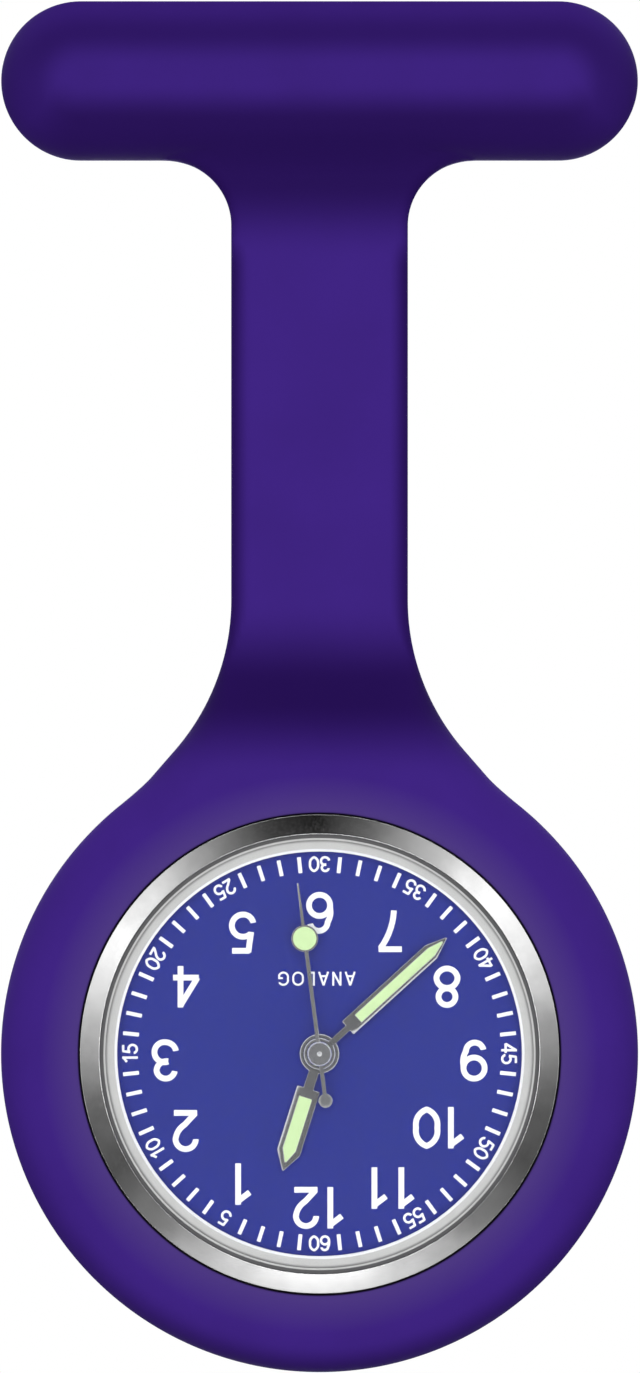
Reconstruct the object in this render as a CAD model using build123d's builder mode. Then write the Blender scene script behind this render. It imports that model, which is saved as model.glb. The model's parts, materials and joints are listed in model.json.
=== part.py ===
from build123d import *
from math import atan2, cos, degrees, hypot, radians, sin, tan
import os

# Silicone fob watch: a soft T-bar, strap and round housing moulded in one, a brooch pin behind the
# bar, and a round quartz watch that presses into the housing with its dial upside-down.
# Millimetres. +Z is up, the dial faces -Y, +X is to the viewer's right.
# The origin is the middle of the brooch needle.

os.makedirs("parts", exist_ok=True)

# ---------------------------------------------------------------- driving dimensions
ring_radius = 20.0
ring_depth = 9.4
bar_length = 40.0
bar_height = 10.0
bar_depth = 8.5
drop = 61.1                      # bar centre down to watch centre
strap_width = 11.1
strap_thick = 2.6
middle_y = -3.2                  # middle plane of the whole moulding
hinge_drop = 21.0                # where the strap bends, below the bar's centre

case_radius = 16.1
glass_radius = 13.55
dial_radius = 13.95
movement_radius = 11.6
fit = 0.1                        # radial room between the case and the silicone
running = 0.05                   # radial clearance of a turning part

# ---------------------------------------------------------------- levels, front to back
watch_z = -drop
ring_front = middle_y - ring_depth / 2
ring_back = middle_y + ring_depth / 2
bar_front = middle_y - bar_depth / 2
bar_back = middle_y + bar_depth / 2
lip = 1.2                        # thickness of the silicone lips that hold the case

bezel_front = ring_front + 0.25
crystal_front = bezel_front + 0.2
crystal_back = crystal_front + 0.9
case_front = ring_front + lip + fit
case_back_face = ring_back - lip - fit
dial_front = crystal_back + 1.45
dial_back = dial_front + 0.4
plate_front = dial_back + 0.9
plate_back = plate_front + 0.8
bridge_front = plate_back + 2.4
bridge_back = bridge_front + 0.6
back_front = case_back_face + 0.8     # inner face of the dished back
back_face = ring_back + 0.1

# ---------------------------------------------------------------- time shown, clockwise from 12
hour_angle = 17.5
minute_angle = 227.6
second_angle = 172.7


# ================================================================ planes and shape helpers
def front_plane(depth, height=0.0):
    """A plane across the watch axis, seen from the front: local x is +X and local y is +Z."""
    return Plane(origin=(0, depth, height), x_dir=(1, 0, 0), z_dir=(0, -1, 0))


def axle_plane(spot, depth):
    """The same plane centred on an axle, given from the watch centre."""
    return Plane(origin=(spot[0], depth, watch_z + spot[1]), x_dir=(1, 0, 0), z_dir=(0, -1, 0))


def dial_plane(depth):
    """The dial's own plane, with 12 o'clock up: it hangs upside-down."""
    return Plane(origin=(0, depth, watch_z), x_dir=(-1, 0, 0), z_dir=(0, -1, 0))


def hand_plane(clock_angle, depth):
    """A dial plane turned so that local y points along a hand."""
    turn = radians(clock_angle + 180)
    return Plane(origin=(0, depth, watch_z), x_dir=(cos(turn), 0, -sin(turn)), z_dir=(0, -1, 0))


def axle_line(spot):
    """A lathe plane for an axle parallel to the watch axis: local x is depth, local y is radius."""
    return Plane(origin=(spot[0], 0, watch_z + spot[1]), x_dir=(0, 1, 0), z_dir=(0, 0, 1))


def lathe(line, profile, mode=Mode.ADD):
    """Turn a closed profile of (along, radius) points about the plane's own x direction."""
    with BuildSketch(line) as section:
        with BuildLine():
            Polyline(*profile, close=True)
        make_face()
    revolve(section.sketch, axis=Axis(line.origin, line.x_dir), mode=mode)


def shaft(line, steps, end, mode=Mode.ADD):
    """Turn a stepped shaft: each step is (start, radius) and runs to the next one's start."""
    starts = [start for start, _ in steps] + [end]
    profile = [(starts[0], 0)]
    for (start, radius), following in zip(steps, starts[1:]):
        profile += [(start, radius), (following, radius)]
    profile.append((end, 0))
    lathe(line, profile, mode)


def disc(spot, front, back, radius, bore=0.0, mode=Mode.ADD):
    """A disc or washer between two depths."""
    with BuildSketch(axle_plane(spot, back)) as face:
        Circle(radius)
        if bore > 0:
            Circle(bore, mode=Mode.SUBTRACT)
    extrude(face.sketch, amount=back - front, mode=mode)


def plate(front, back, outline, mode=Mode.ADD):
    """A flat piece between two depths from a closed outline about the watch centre."""
    with BuildSketch(axle_plane(centre, back)) as face:
        with BuildLine():
            Polyline(*outline, close=True)
        make_face()
    extrude(face.sketch, amount=back - front, mode=mode)


def strip(front, back, start, end, width, mode=Mode.ADD):
    """A flat strip with round ends, between two spots."""
    span = hypot(end[0] - start[0], end[1] - start[1])
    lean = heading(start, end)
    with BuildSketch(axle_plane(centre, back)) as face:
        with Locations(Location(((start[0] + end[0]) / 2, (start[1] + end[1]) / 2), lean)):
            SlotCenterToCenter(span, width)
    extrude(face.sketch, amount=back - front, mode=mode)


def heading(here, there):
    """Direction from one spot to another, in degrees anticlockwise from +X."""
    return degrees(atan2(there[1] - here[1], there[0] - here[0]))


def spot_at(base, distance, angle):
    """The spot at a distance and direction from another."""
    return (base[0] + distance * cos(radians(angle)), base[1] + distance * sin(radians(angle)))


def mesh(tooth_at, teeth, angle, other_teeth):
    """Where a gear's tooth stands when it meshes with one whose tooth stands at tooth_at."""
    step = 360 / teeth
    offset = (tooth_at - angle + step / 2) % step - step / 2
    return angle + 180 - offset * teeth / other_teeth + 180 / other_teeth


def gear(spot, front, back, teeth, module, tooth_at, bore=0.0):
    """A spur gear with straight flanks."""
    pitch_radius = teeth * module / 2
    root = pitch_radius - 1.1 * module
    tip = pitch_radius + 0.8 * module
    step = 360 / teeth
    outline = []
    for tooth in range(teeth):
        middle = tooth_at + tooth * step
        for radius, side in ((root, -0.27), (tip, -0.12), (tip, 0.12), (root, 0.27)):
            outline.append(spot_at((0, 0), radius, middle + side * step))
    with BuildSketch(axle_plane(spot, back)) as face:
        with BuildLine():
            Polyline(*outline, close=True)
        make_face()
        if bore > 0:
            Circle(bore, mode=Mode.SUBTRACT)
    extrude(face.sketch, amount=back - front)


def finish(name, piece):
    """Label a finished piece and write it out."""
    piece.part.label = name
    export_step(piece.part, f"parts/{name}.step")


centre = (0.0, 0.0)

# ================================================================ silicone moulding
web_radius = 4.1                 # fillet between the bar and the strap
bar_rounding = 3.6
root_drop = 11.0                 # where the strap starts to thicken towards the bar
root_half = 2.2                  # half its thickness at the bar
hinge_gap = 0.1
half_width = strap_width / 2
half_thick = strap_thick / 2
hinge_z = -hinge_drop
cut_z = hinge_z + half_thick + hinge_gap
bar_bottom = -bar_height / 2
embed = 1.0                      # how far the strap's outline runs into the bar

with BuildPart() as upper_strap:
    with BuildSketch(front_plane(bar_back)):
        with BuildLine():
            web_low = (half_width, bar_bottom - web_radius)
            web_high = (half_width + web_radius, bar_bottom)
            web_end = (half_width + web_radius, bar_bottom + embed)
            Polyline((0, cut_z), (half_width, cut_z), web_low)
            TangentArc(web_low, web_high, tangent=(0, 1))
            Polyline(web_high, web_end, (0, bar_bottom + embed))
            mirror(about=Plane.YZ)
        make_face()
    extrude(amount=bar_depth)
    with BuildSketch(Plane.YZ):
        with BuildLine():
            root_low = (middle_y + half_thick, -root_drop)
            root_high = (middle_y + root_half, bar_bottom + embed)
            Polyline((middle_y, cut_z), (middle_y + half_thick, cut_z), root_low)
            TangentArc(root_low, root_high, tangent=(0, 1))
            Line(root_high, (middle_y, bar_bottom + embed))
            mirror(about=Plane.YZ.offset(middle_y))
        make_face()
    extrude(amount=bar_length, both=True, mode=Mode.INTERSECT)

# the pocket behind the bar: a wide floor for the pin's base strip and a smaller mouth
strip_back = -1.6
strip_thick = 0.6
strip_length = 33.0
strip_height = 6.0
pocket_floor = strip_back - strip_thick - running
pocket_length = 34.0
pocket_height = 7.0
shoulder_y = -1.2
mouth_length = 26.0
mouth_height = 5.6

with BuildPart() as silicone_hanger:
    with BuildSketch(front_plane(bar_back)):
        SlotOverall(bar_length, bar_height)
    extrude(amount=bar_depth)
    fillet(silicone_hanger.faces().filter_by(Axis.Y).edges(), bar_rounding)
    add(upper_strap.part)
    with BuildSketch(front_plane(shoulder_y)):
        RectangleRounded(pocket_length, pocket_height, pocket_height / 2 - embed)
    extrude(amount=shoulder_y - pocket_floor, mode=Mode.SUBTRACT)
    with BuildSketch(front_plane(bar_back)):
        RectangleRounded(mouth_length, mouth_height, embed)
    extrude(amount=bar_back - shoulder_y, mode=Mode.SUBTRACT)
finish("silicone_hanger", silicone_hanger)

# the flare that carries the strap into the round housing
flare_drop = 32.6
flare_radius = 14.4
flare_turn = 41.0
flare_end_drop = 46.6
swell_drop = 35.5                # where the strap starts to thicken towards the housing
swell_full = 4.5                 # half thickness where the flare ends inside the housing
swell_end = (4.2, 43.5)          # half thickness and drop where the swelling ends
flare_x = half_width + flare_radius * (1 - cos(radians(flare_turn)))
flare_z = -flare_drop - flare_radius * sin(radians(flare_turn))
flare_end_x = flare_x + (flare_end_drop + flare_z) * tan(radians(flare_turn))

with BuildPart() as lower_strap:
    with BuildSketch(front_plane(ring_back)):
        with BuildLine():
            flare_start = (half_width, -flare_drop)
            Polyline((0, hinge_z + half_thick), (half_width, hinge_z + half_thick), flare_start)
            TangentArc(flare_start, (flare_x, flare_z), tangent=(0, -1))
            Polyline((flare_x, flare_z), (flare_end_x, -flare_end_drop), (0, -flare_end_drop))
            mirror(about=Plane.YZ)
        make_face()
    extrude(amount=ring_depth)
    with BuildSketch(Plane.YZ):
        with BuildLine():
            swell_start = (middle_y + half_thick, -swell_drop)
            swell_finish = (middle_y + swell_end[0], -swell_end[1])
            full = (middle_y + swell_full, -flare_end_drop)
            TangentArc((middle_y, hinge_z + half_thick), (middle_y + half_thick, hinge_z), tangent=(1, 0))
            Line((middle_y + half_thick, hinge_z), swell_start)
            TangentArc(swell_start, swell_finish, tangent=(0, -1))
            Polyline(swell_finish, full, (middle_y, -flare_end_drop))
            mirror(about=Plane.YZ.offset(middle_y))
        make_face()
    extrude(amount=bar_length, both=True, mode=Mode.INTERSECT)

housing_rounding = 2.8
front_opening = 15.2
back_opening = 13.5
stem_y = plate_back + 0.05
crown_radius = 1.8
crown_pocket_radius = 2.2
crown_pocket_end = -18.8
watch_line = axle_line(centre)
stem_line = Plane(origin=(0, stem_y, watch_z), x_dir=(1, 0, 0), z_dir=(0, 0, 1))

with BuildPart() as silicone_ring:
    with BuildSketch(watch_line) as housing_section:
        with Locations((middle_y, ring_radius / 2)):
            Rectangle(ring_depth, ring_radius)
        fillet(housing_section.vertices().group_by(Axis.Y)[-1], housing_rounding)
    revolve(axis=Axis(watch_line.origin, watch_line.x_dir))
    add(lower_strap.part)
    cavity = [
        (ring_front - 1, 0),
        (ring_front - 1, front_opening),
        (ring_front + lip, front_opening),
        (ring_front + lip, case_radius + fit),
        (ring_back - lip, case_radius + fit),
        (ring_back - lip, back_opening),
        (ring_back + 1, back_opening),
        (ring_back + 1, 0),
    ]
    lathe(watch_line, cavity, Mode.SUBTRACT)
    shaft(stem_line, [(crown_pocket_end, crown_pocket_radius)], -case_radius + 1, Mode.SUBTRACT)
finish("silicone_ring", silicone_ring)

# ================================================================ brooch pin
hinge_x = -11.2
needle_radius = 0.4
taper_start = 9.5                # where the plain stretch ends and the point begins
needle_end = 12.6
point_radius = 0.05
eye_radius = 1.0
eye_half = 0.45
rivet_radius = 0.4
ear_gap = 0.05
ear_thick = 0.6
catch_start = 10.1
catch_end = 11.7
catch_outer = 1.5
roller_radius = 1.0
roller_bore = 0.5
slot_width = 0.9
needle_line = Plane(origin=(0, 0, 0), x_dir=(1, 0, 0), z_dir=(0, 0, 1))
catch_plane = Plane(origin=(catch_start, 0, 0), x_dir=(0, 1, 0), z_dir=(1, 0, 0))

with BuildPart() as pin_plate:
    with BuildSketch(front_plane(strip_back)):
        RectangleRounded(strip_length, strip_height, strip_height / 2 - embed)
    extrude(amount=strip_thick)
    for side in (-1, 1):
        ear_low = side * (eye_half + ear_gap) - (ear_thick if side < 0 else 0)
        with BuildSketch(Plane.XY.offset(ear_low)) as ear:
            with Locations((hinge_x, 0)):
                Circle(eye_radius)
            with Locations((hinge_x, strip_back / 2)):
                Rectangle(2 * eye_radius, -strip_back)
            with Locations((hinge_x, 0)):
                Circle(rivet_radius, mode=Mode.SUBTRACT)
        extrude(ear.sketch, amount=ear_thick)
    with BuildSketch(catch_plane) as catch:
        Circle(catch_outer)
        with Locations(((strip_back - running) / 2, 0)):
            Rectangle(-strip_back + running, 2 * roller_radius)
        Circle(roller_radius + running, mode=Mode.SUBTRACT)
        with Locations((catch_outer, 0)):
            Rectangle(2 * catch_outer, slot_width + 4 * fit, mode=Mode.SUBTRACT)
    extrude(catch.sketch, amount=catch_end - catch_start)
finish("pin_plate", pin_plate)

rivet_head = 0.7
rivet_head_thick = 0.25
rivet_half = eye_half + ear_gap + ear_thick
with BuildPart() as pin_rivet:
    rivet_line = Plane(origin=(hinge_x, 0, 0), x_dir=(0, 0, 1), z_dir=(0, 1, 0))
    rivet_steps = [
        (-rivet_half - rivet_head_thick, rivet_head),
        (-rivet_half, rivet_radius),
        (rivet_half, rivet_head),
    ]
    shaft(rivet_line, rivet_steps, rivet_half + rivet_head_thick)
finish("pin_rivet", pin_rivet)

with BuildPart() as pin_needle:
    needle_profile = [
        (hinge_x + eye_radius / 2, 0),
        (hinge_x + eye_radius / 2, needle_radius),
        (taper_start, needle_radius),
        (needle_end, point_radius),
        (needle_end, 0),
    ]
    lathe(needle_line, needle_profile)
    with BuildSketch(Plane.XY.offset(-eye_half)):
        with Locations((hinge_x, 0)):
            Circle(eye_radius)
    extrude(amount=2 * eye_half)
    with BuildSketch(Plane.XY.offset(-eye_half)):
        with Locations((hinge_x, 0)):
            Circle(rivet_radius + running)
    extrude(amount=2 * eye_half, mode=Mode.SUBTRACT)
finish("pin_needle", pin_needle)

tab_start = 11.9
tab_reach = 2.2
tab_thick = 0.7
with BuildPart() as catch_roller:
    with BuildSketch(catch_plane) as barrel:
        Circle(roller_radius)
        Circle(roller_bore, mode=Mode.SUBTRACT)
        with Locations((roller_radius, 0)):
            Rectangle(2 * roller_radius, slot_width, mode=Mode.SUBTRACT)
    extrude(barrel.sketch, amount=tab_start + tab_thick - catch_start)
    with BuildSketch(catch_plane.offset(tab_start - catch_start)) as tab:
        with Locations((0, -(roller_bore + tab_reach) / 2)):
            RectangleRounded(roller_radius, tab_reach - roller_bore - fit, fit)
    extrude(tab.sketch, amount=tab_thick)
finish("catch_roller", catch_roller)

# ================================================================ case
tube_radius = 1.0
tube_bore = 0.6
tube_start = -15.05
tube_end = -16.15
stem_radius = 0.45
movement_bore = 15.0
dial_bore = 14.2
edge_break = 0.3

with BuildPart() as mid_case:
    case_profile = [
        (case_front, dial_bore),
        (case_front, case_radius - edge_break),
        (case_front + edge_break, case_radius),
        (case_back_face - edge_break, case_radius),
        (case_back_face, case_radius - edge_break),
        (case_back_face, movement_bore),
        (dial_back + fit, movement_bore),
        (dial_back + fit, dial_bore),
    ]
    lathe(watch_line, case_profile)
    shaft(stem_line, [(-case_radius - 1, tube_radius)], -movement_bore + 1, Mode.SUBTRACT)
finish("mid_case", mid_case)

bezel_outer = 15.0
bezel_inner = 13.8
with BuildPart() as bezel:
    bezel_profile = [
        (case_front, bezel_inner),
        (case_front, bezel_outer),
        (case_front - 0.35, bezel_outer),
        (bezel_front + 0.08, bezel_inner + 0.35),
        (bezel_front, bezel_inner + 0.2),
        (bezel_front + 0.12, bezel_inner),
    ]
    lathe(watch_line, bezel_profile)
finish("bezel", bezel)

with BuildPart() as crystal:
    disc(centre, crystal_front, crystal_back, glass_radius)
    chamfer(crystal.edges().sort_by(Axis.Y)[0], 0.12)
finish("crystal", crystal)

with BuildPart() as crystal_gasket:
    disc(centre, crystal_front + 0.1, crystal_back - 0.05, bezel_inner - 0.03, glass_radius + 0.03)
finish("crystal_gasket", crystal_gasket)

flange_outer = 13.75
dial_opening = 12.7
flange_chamfer = 0.16            # the bright inner edge
flange_y = crystal_back + 0.1
with BuildPart() as rehaut_ring:
    rehaut_profile = [
        (dial_front, dial_opening),
        (flange_y + flange_chamfer, dial_opening),
        (flange_y, dial_opening + flange_chamfer),
        (flange_y, flange_outer),
        (dial_front, flange_outer),
    ]
    lathe(watch_line, rehaut_profile)
finish("rehaut_ring", rehaut_ring)

back_flange = 14.9
back_dome = 13.3
back_inner = 12.6
flange_front = case_back_face - 0.5
lever_notch = 0.6
notch_direction = 250
with BuildPart() as case_back:
    back_profile = [
        (back_front, 0),
        (back_front, back_inner),
        (flange_front, back_inner),
        (flange_front, back_flange),
        (case_back_face, back_flange),
        (case_back_face, back_dome),
        (back_face - edge_break, back_dome),
        (back_face, back_dome - edge_break),
        (back_face, 0),
    ]
    lathe(watch_line, back_profile)
    notch_spot = spot_at(centre, back_flange + lever_notch, notch_direction)
    disc(notch_spot, flange_front, case_back_face, 2 * lever_notch, mode=Mode.SUBTRACT)
finish("case_back", case_back)

with BuildPart() as back_gasket:
    disc(centre, flange_front - 0.3, flange_front - 0.02, back_flange + 0.05, back_flange - 0.55)
finish("back_gasket", back_gasket)

crown_inner = -16.3
crown_outer = -17.6
knurl_count = 24
knurl_radius = 0.14
crown_plane = Plane(origin=(crown_inner, stem_y, watch_z), x_dir=(0, 1, 0), z_dir=(-1, 0, 0))
stem_end = crown_outer + 0.4
with BuildPart() as crown:
    with BuildSketch(crown_plane) as knurled:
        Circle(crown_radius)
        with PolarLocations(crown_radius + knurl_radius / 3, knurl_count):
            Circle(knurl_radius, mode=Mode.SUBTRACT)
    extrude(knurled.sketch, amount=crown_inner - crown_outer)
    shaft(stem_line, [(stem_end, stem_radius)], crown_inner + fit, Mode.SUBTRACT)
finish("crown", crown)

with BuildPart() as crown_tube:
    lathe(stem_line, [(tube_end, tube_bore), (tube_end, tube_radius), (tube_start, tube_radius),
                      (tube_start, tube_bore)])
finish("crown_tube", crown_tube)

seal_x = -15.35
seal_radius = 0.11
with BuildPart() as crown_seal:
    with BuildSketch(stem_line) as seal_section:
        with Locations((seal_x, tube_bore - seal_radius)):
            Circle(seal_radius)
    revolve(seal_section.sketch, axis=Axis(stem_line.origin, stem_line.x_dir))
finish("crown_seal", crown_seal)

# ================================================================ dial and its printing
hour_pipe = 0.85
print_thick = 0.03
foot_radius = 0.35
foot_spots = [spot_at(centre, 10.6, angle) for angle in (60, 235)]
foot_back = plate_back - 0.2

with BuildPart() as dial:
    disc(centre, dial_front, dial_back, dial_radius, hour_pipe + 0.15)
    for foot_spot in foot_spots:
        disc(foot_spot, dial_back, foot_back, foot_radius)
finish("dial", dial)


def line(*points):
    """Edges joining points in a glyph's unit square."""
    return [Line(start, end) for start, end in zip(points, points[1:])]


def arc(start, middle, end):
    """One round stretch of a glyph."""
    return [ThreePointArc(start, middle, end)]


# centre lines of the strokes, in units of the letter's height
SIX = arc((0.56, 0.76), (0.36, 0.93), (0.14, 0.72)) + arc((0.14, 0.72), (0.075, 0.55), (0.085, 0.36))
BOWL = arc((0.335, 0.57), (0.59, 0.315), (0.335, 0.06)) + arc((0.335, 0.06), (0.08, 0.315), (0.335, 0.57))
GLYPHS = {
    "0": [arc((0.08, 0.5), (0.16, 0.82), (0.335, 0.94)) + arc((0.335, 0.94), (0.51, 0.82), (0.59, 0.5))
          + arc((0.59, 0.5), (0.51, 0.18), (0.335, 0.06)) + arc((0.335, 0.06), (0.16, 0.18), (0.08, 0.5))],
    "1": [line((0.40, 0.0), (0.40, 1.0)), line((0.12, 0.70), (0.40, 0.91))],
    "2": [arc((0.09, 0.70), (0.34, 0.94), (0.58, 0.70)) + arc((0.58, 0.70), (0.51, 0.50), (0.36, 0.35))
          + line((0.36, 0.35), (0.10, 0.07)), line((0.06, 0.065), (0.62, 0.065))],
    "3": [arc((0.10, 0.76), (0.32, 0.94), (0.54, 0.74)) + arc((0.54, 0.74), (0.46, 0.58), (0.26, 0.52)),
          arc((0.26, 0.53), (0.59, 0.30), (0.32, 0.06)) + arc((0.32, 0.06), (0.16, 0.12), (0.07, 0.27))],
    "4": [line((0.46, 0.0), (0.46, 1.0)), line((0.02, 0.28), (0.64, 0.28)), line((0.46, 0.95), (0.05, 0.28))],
    "5": [line((0.58, 0.935), (0.16, 0.935)), line((0.19, 0.97), (0.12, 0.48)),
          arc((0.13, 0.52), (0.585, 0.34), (0.32, 0.06)) + arc((0.32, 0.06), (0.16, 0.11), (0.07, 0.26))],
    "6": [SIX, BOWL],
    "7": [line((0.06, 0.935), (0.62, 0.935)), arc((0.58, 0.92), (0.36, 0.52), (0.25, 0.0))],
    "8": [arc((0.13, 0.74), (0.335, 0.94), (0.54, 0.74)) + arc((0.54, 0.74), (0.335, 0.54), (0.13, 0.74)),
          arc((0.08, 0.28), (0.335, 0.53), (0.59, 0.28)) + arc((0.59, 0.28), (0.335, 0.06), (0.08, 0.28))],
    "A": [line((0.03, 0.0), (0.36, 0.98)), line((0.36, 0.98), (0.69, 0.0)), line((0.16, 0.32), (0.56, 0.32))],
    "N": [line((0.10, 0.0), (0.10, 1.0)), line((0.11, 0.95), (0.61, 0.05)), line((0.62, 0.0), (0.62, 1.0))],
    "L": [line((0.10, 1.0), (0.10, 0.0)), line((0.04, 0.065), (0.56, 0.065))],
    "O": [arc((0.08, 0.5), (0.42, 0.94), (0.76, 0.5)) + arc((0.76, 0.5), (0.42, 0.06), (0.08, 0.5))],
    "G": [arc((0.70, 0.76), (0.38, 0.94), (0.08, 0.5)) + arc((0.08, 0.5), (0.38, 0.06), (0.70, 0.26)),
          line((0.70, 0.20), (0.70, 0.48)), line((0.77, 0.46), (0.44, 0.46))],
}
WIDTHS = {"1": 0.60, "A": 0.72, "N": 0.72, "L": 0.58, "O": 0.84, "G": 0.80}
digit_width = 0.67


def glyph(character, height, stroke):
    """One character as a sketch, its left foot at the origin; a 9 is a 6 turned round."""
    source = "6" if character == "9" else character
    with BuildSketch() as face:
        for edges in GLYPHS[source]:
            trace(edges, line_width=stroke / height)
    shape = face.sketch.scale(height)
    if character == "9":
        shape = shape.rotate(Axis.Z, 180).translate((digit_width * height, height, 0))
    return shape


def text(word, height, stroke, spacing):
    """A word as one sketch centred on the origin."""
    advance = 0.0
    letters = []
    for character in word:
        letters.append(glyph(character, height, stroke).translate((advance, -height / 2, 0)))
        advance += (WIDTHS.get(character, digit_width) + spacing) * height
    shift = -(advance - spacing * height) / 2
    with BuildSketch() as face:
        for letter in letters:
            add(letter.translate((shift, 0, 0)))
    return face.sketch


numeral_height = 2.6
numeral_stroke = 0.36
numeral_reach = (9.7, 9.25)      # half-axes of the oval on which the numerals stand
numeral_shift = 0.42
numeral_nudge = {1: (0, -0.25), 2: (0, -0.2), 7: (0.4, -0.1), 8: (0.4, 0), 10: (0.83, -0.4), 11: (0.3, 0)}
with BuildPart() as hour_numerals:
    with BuildSketch(dial_plane(dial_front)) as numerals:
        for hour in range(1, 13):
            turn = radians(30 * hour)
            nudge = numeral_nudge.get(hour, (0, 0))
            across = numeral_reach[0] * sin(turn) + nudge[0]
            up = numeral_reach[1] * cos(turn) + numeral_shift + nudge[1]
            with Locations((across, up)):
                add(text(str(hour), numeral_height, numeral_stroke, 0.05))
    extrude(numerals.sketch, amount=print_thick)
finish("hour_numerals", hour_numerals)

tick_inner = 11.4
tick_outer = 12.4
tick_width = 0.24
small_height = 0.98
small_stroke = 0.15
with BuildPart() as minute_track:
    with BuildSketch(dial_plane(dial_front)) as track:
        for minute in range(1, 61):
            turn = 6 * minute
            reach = (tick_inner + tick_outer) / 2
            spot = (reach * sin(radians(turn)), reach * cos(radians(turn)))
            if minute % 5:
                with Locations(Location(spot, -turn)):
                    Rectangle(tick_width, tick_outer - tick_inner)
            else:
                upright = 180 if 90 < turn < 270 else 0
                with Locations(Location(spot, upright - turn)):
                    add(text(str(minute), small_height, small_stroke, 0.03))
    extrude(track.sketch, amount=print_thick)
finish("minute_track", minute_track)

word_height = 0.87
word_stroke = 0.12
word_spot = (0.19, -4.71)
with BuildPart() as dial_word:
    with BuildSketch(dial_plane(dial_front)) as word:
        with Locations(word_spot):
            add(text("ANALOG", word_height, word_stroke, 0.24))
    extrude(word.sketch, amount=print_thick)
finish("dial_word", dial_word)

# ================================================================ hands
hand_thick = 0.15
hour_hand_back = dial_front - 0.2
minute_hand_back = hour_hand_back - 0.4
second_hand_back = minute_hand_back - 0.4
cannon_pipe = 0.55
arbor_radius = 0.15
press_room = 0.02


def baton_outline(start, shoulder, end, half, tip_half):
    """Half-width points of a straight blade with a pointed tip."""
    right = [(half, start), (half, shoulder), (tip_half, end)]
    left = [(-across, along) for across, along in reversed(right)]
    return right + left


def baton_hand(clock_angle, back, hub, bore, neck_half, blade, lume):
    """A hub, a narrow neck and a pointed blade with a window for the luminous filling."""
    with BuildSketch(hand_plane(clock_angle, back)) as face:
        Circle(hub)
        with BuildLine():
            Polyline(*baton_outline(0, blade[0], blade[0] + running, neck_half, neck_half), close=True)
        make_face()
        with BuildLine():
            Polyline(*baton_outline(*blade), close=True)
        make_face()
        Circle(bore, mode=Mode.SUBTRACT)
        with BuildLine():
            Polyline(*baton_outline(*lume), close=True)
        make_face(mode=Mode.SUBTRACT)
    extrude(face.sketch, amount=hand_thick)


def lume_strip(clock_angle, back, lume):
    """The luminous filling of a hand's window, a little sunk."""
    with BuildSketch(hand_plane(clock_angle, back)) as face:
        with BuildLine():
            Polyline(*baton_outline(*lume), close=True)
        make_face()
    extrude(face.sketch, amount=hand_thick - press_room)


hour_blade = (2.3, 6.5, 7.7, 0.75, 0.04)
hour_window = (2.9, 6.3, 7.1, 0.4, 0.04)
minute_blade = (2.4, 9.5, 10.8, 0.55, 0.04)
minute_window = (3.3, 9.5, 10.4, 0.29, 0.04)
minute_bore = cannon_pipe + press_room

with BuildPart() as hour_hand:
    baton_hand(hour_angle, hour_hand_back, 1.25, hour_pipe + press_room, 0.32, hour_blade, hour_window)
finish("hour_hand", hour_hand)

with BuildPart() as hour_hand_lume:
    lume_strip(hour_angle, hour_hand_back, hour_window)
finish("hour_hand_lume", hour_hand_lume)

with BuildPart() as minute_hand:
    baton_hand(minute_angle, minute_hand_back, 1.0, minute_bore, 0.2, minute_blade, minute_window)
finish("minute_hand", minute_hand)

with BuildPart() as minute_hand_lume:
    lume_strip(minute_angle, minute_hand_back, minute_window)
finish("minute_hand_lume", minute_hand_lume)

second_tip = 10.8
second_tail = -3.4
second_half = 0.125
lume_reach = 7.3
lume_radius = 0.73
lume_rim = 0.84
tail_radius = 0.44
boss_radius = 0.78
boss_height = 0.3
boss_edge = 0.1
boss_dimple = 0.16
with BuildPart() as second_hand:
    with BuildSketch(hand_plane(second_angle, second_hand_back)) as needle:
        with BuildLine():
            Polyline(*baton_outline(second_tail + tail_radius, lume_reach, second_tip, second_half, running),
                     close=True)
        make_face()
        with Locations((0, second_tail + tail_radius)):
            Circle(tail_radius)
        with Locations((0, lume_reach)):
            Circle(lume_rim)
            Circle(lume_radius, mode=Mode.SUBTRACT)
        Circle(boss_radius)
    extrude(needle.sketch, amount=hand_thick)
    boss_front = second_hand_back - boss_height
    boss_profile = [
        (second_hand_back, 0),
        (second_hand_back, boss_radius),
        (boss_front + boss_edge, boss_radius),
        (boss_front, boss_radius - boss_edge),
        (boss_front, boss_dimple),
        (boss_front + boss_edge, 0),
    ]
    lathe(watch_line, boss_profile)
    disc(centre, second_hand_back - 0.15, second_hand_back, arbor_radius, mode=Mode.SUBTRACT)
finish("second_hand", second_hand)

with BuildPart() as second_hand_lume:
    with BuildSketch(hand_plane(second_angle, second_hand_back)) as spot_face:
        with Locations((0, lume_reach)):
            Circle(lume_radius)
    extrude(spot_face.sketch, amount=hand_thick - press_room)
finish("second_hand_lume", second_hand_lume)

# ================================================================ movement layout
third_module = 0.09
center_module = 0.085
second_module = 0.09
rotor_module = 0.07
motion_module = 0.14
rotor_teeth = 12
fifth_teeth = 60
fifth_leaves = 10                # a pinion's teeth are called leaves
second_teeth = 60
second_leaves = 8
third_teeth = 60
third_leaves = 8
center_teeth = 64
cannon_leaves = 10
minute_teeth = 30
minute_leaves = 8
hour_teeth = 32
setting_teeth = 20


def meshing_spot(base, teeth, other_teeth, module, angle):
    """Where a gear's axle stands when it meshes with the one at base, in the given direction."""
    return spot_at(base, (teeth + other_teeth) * module / 2, angle)


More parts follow.
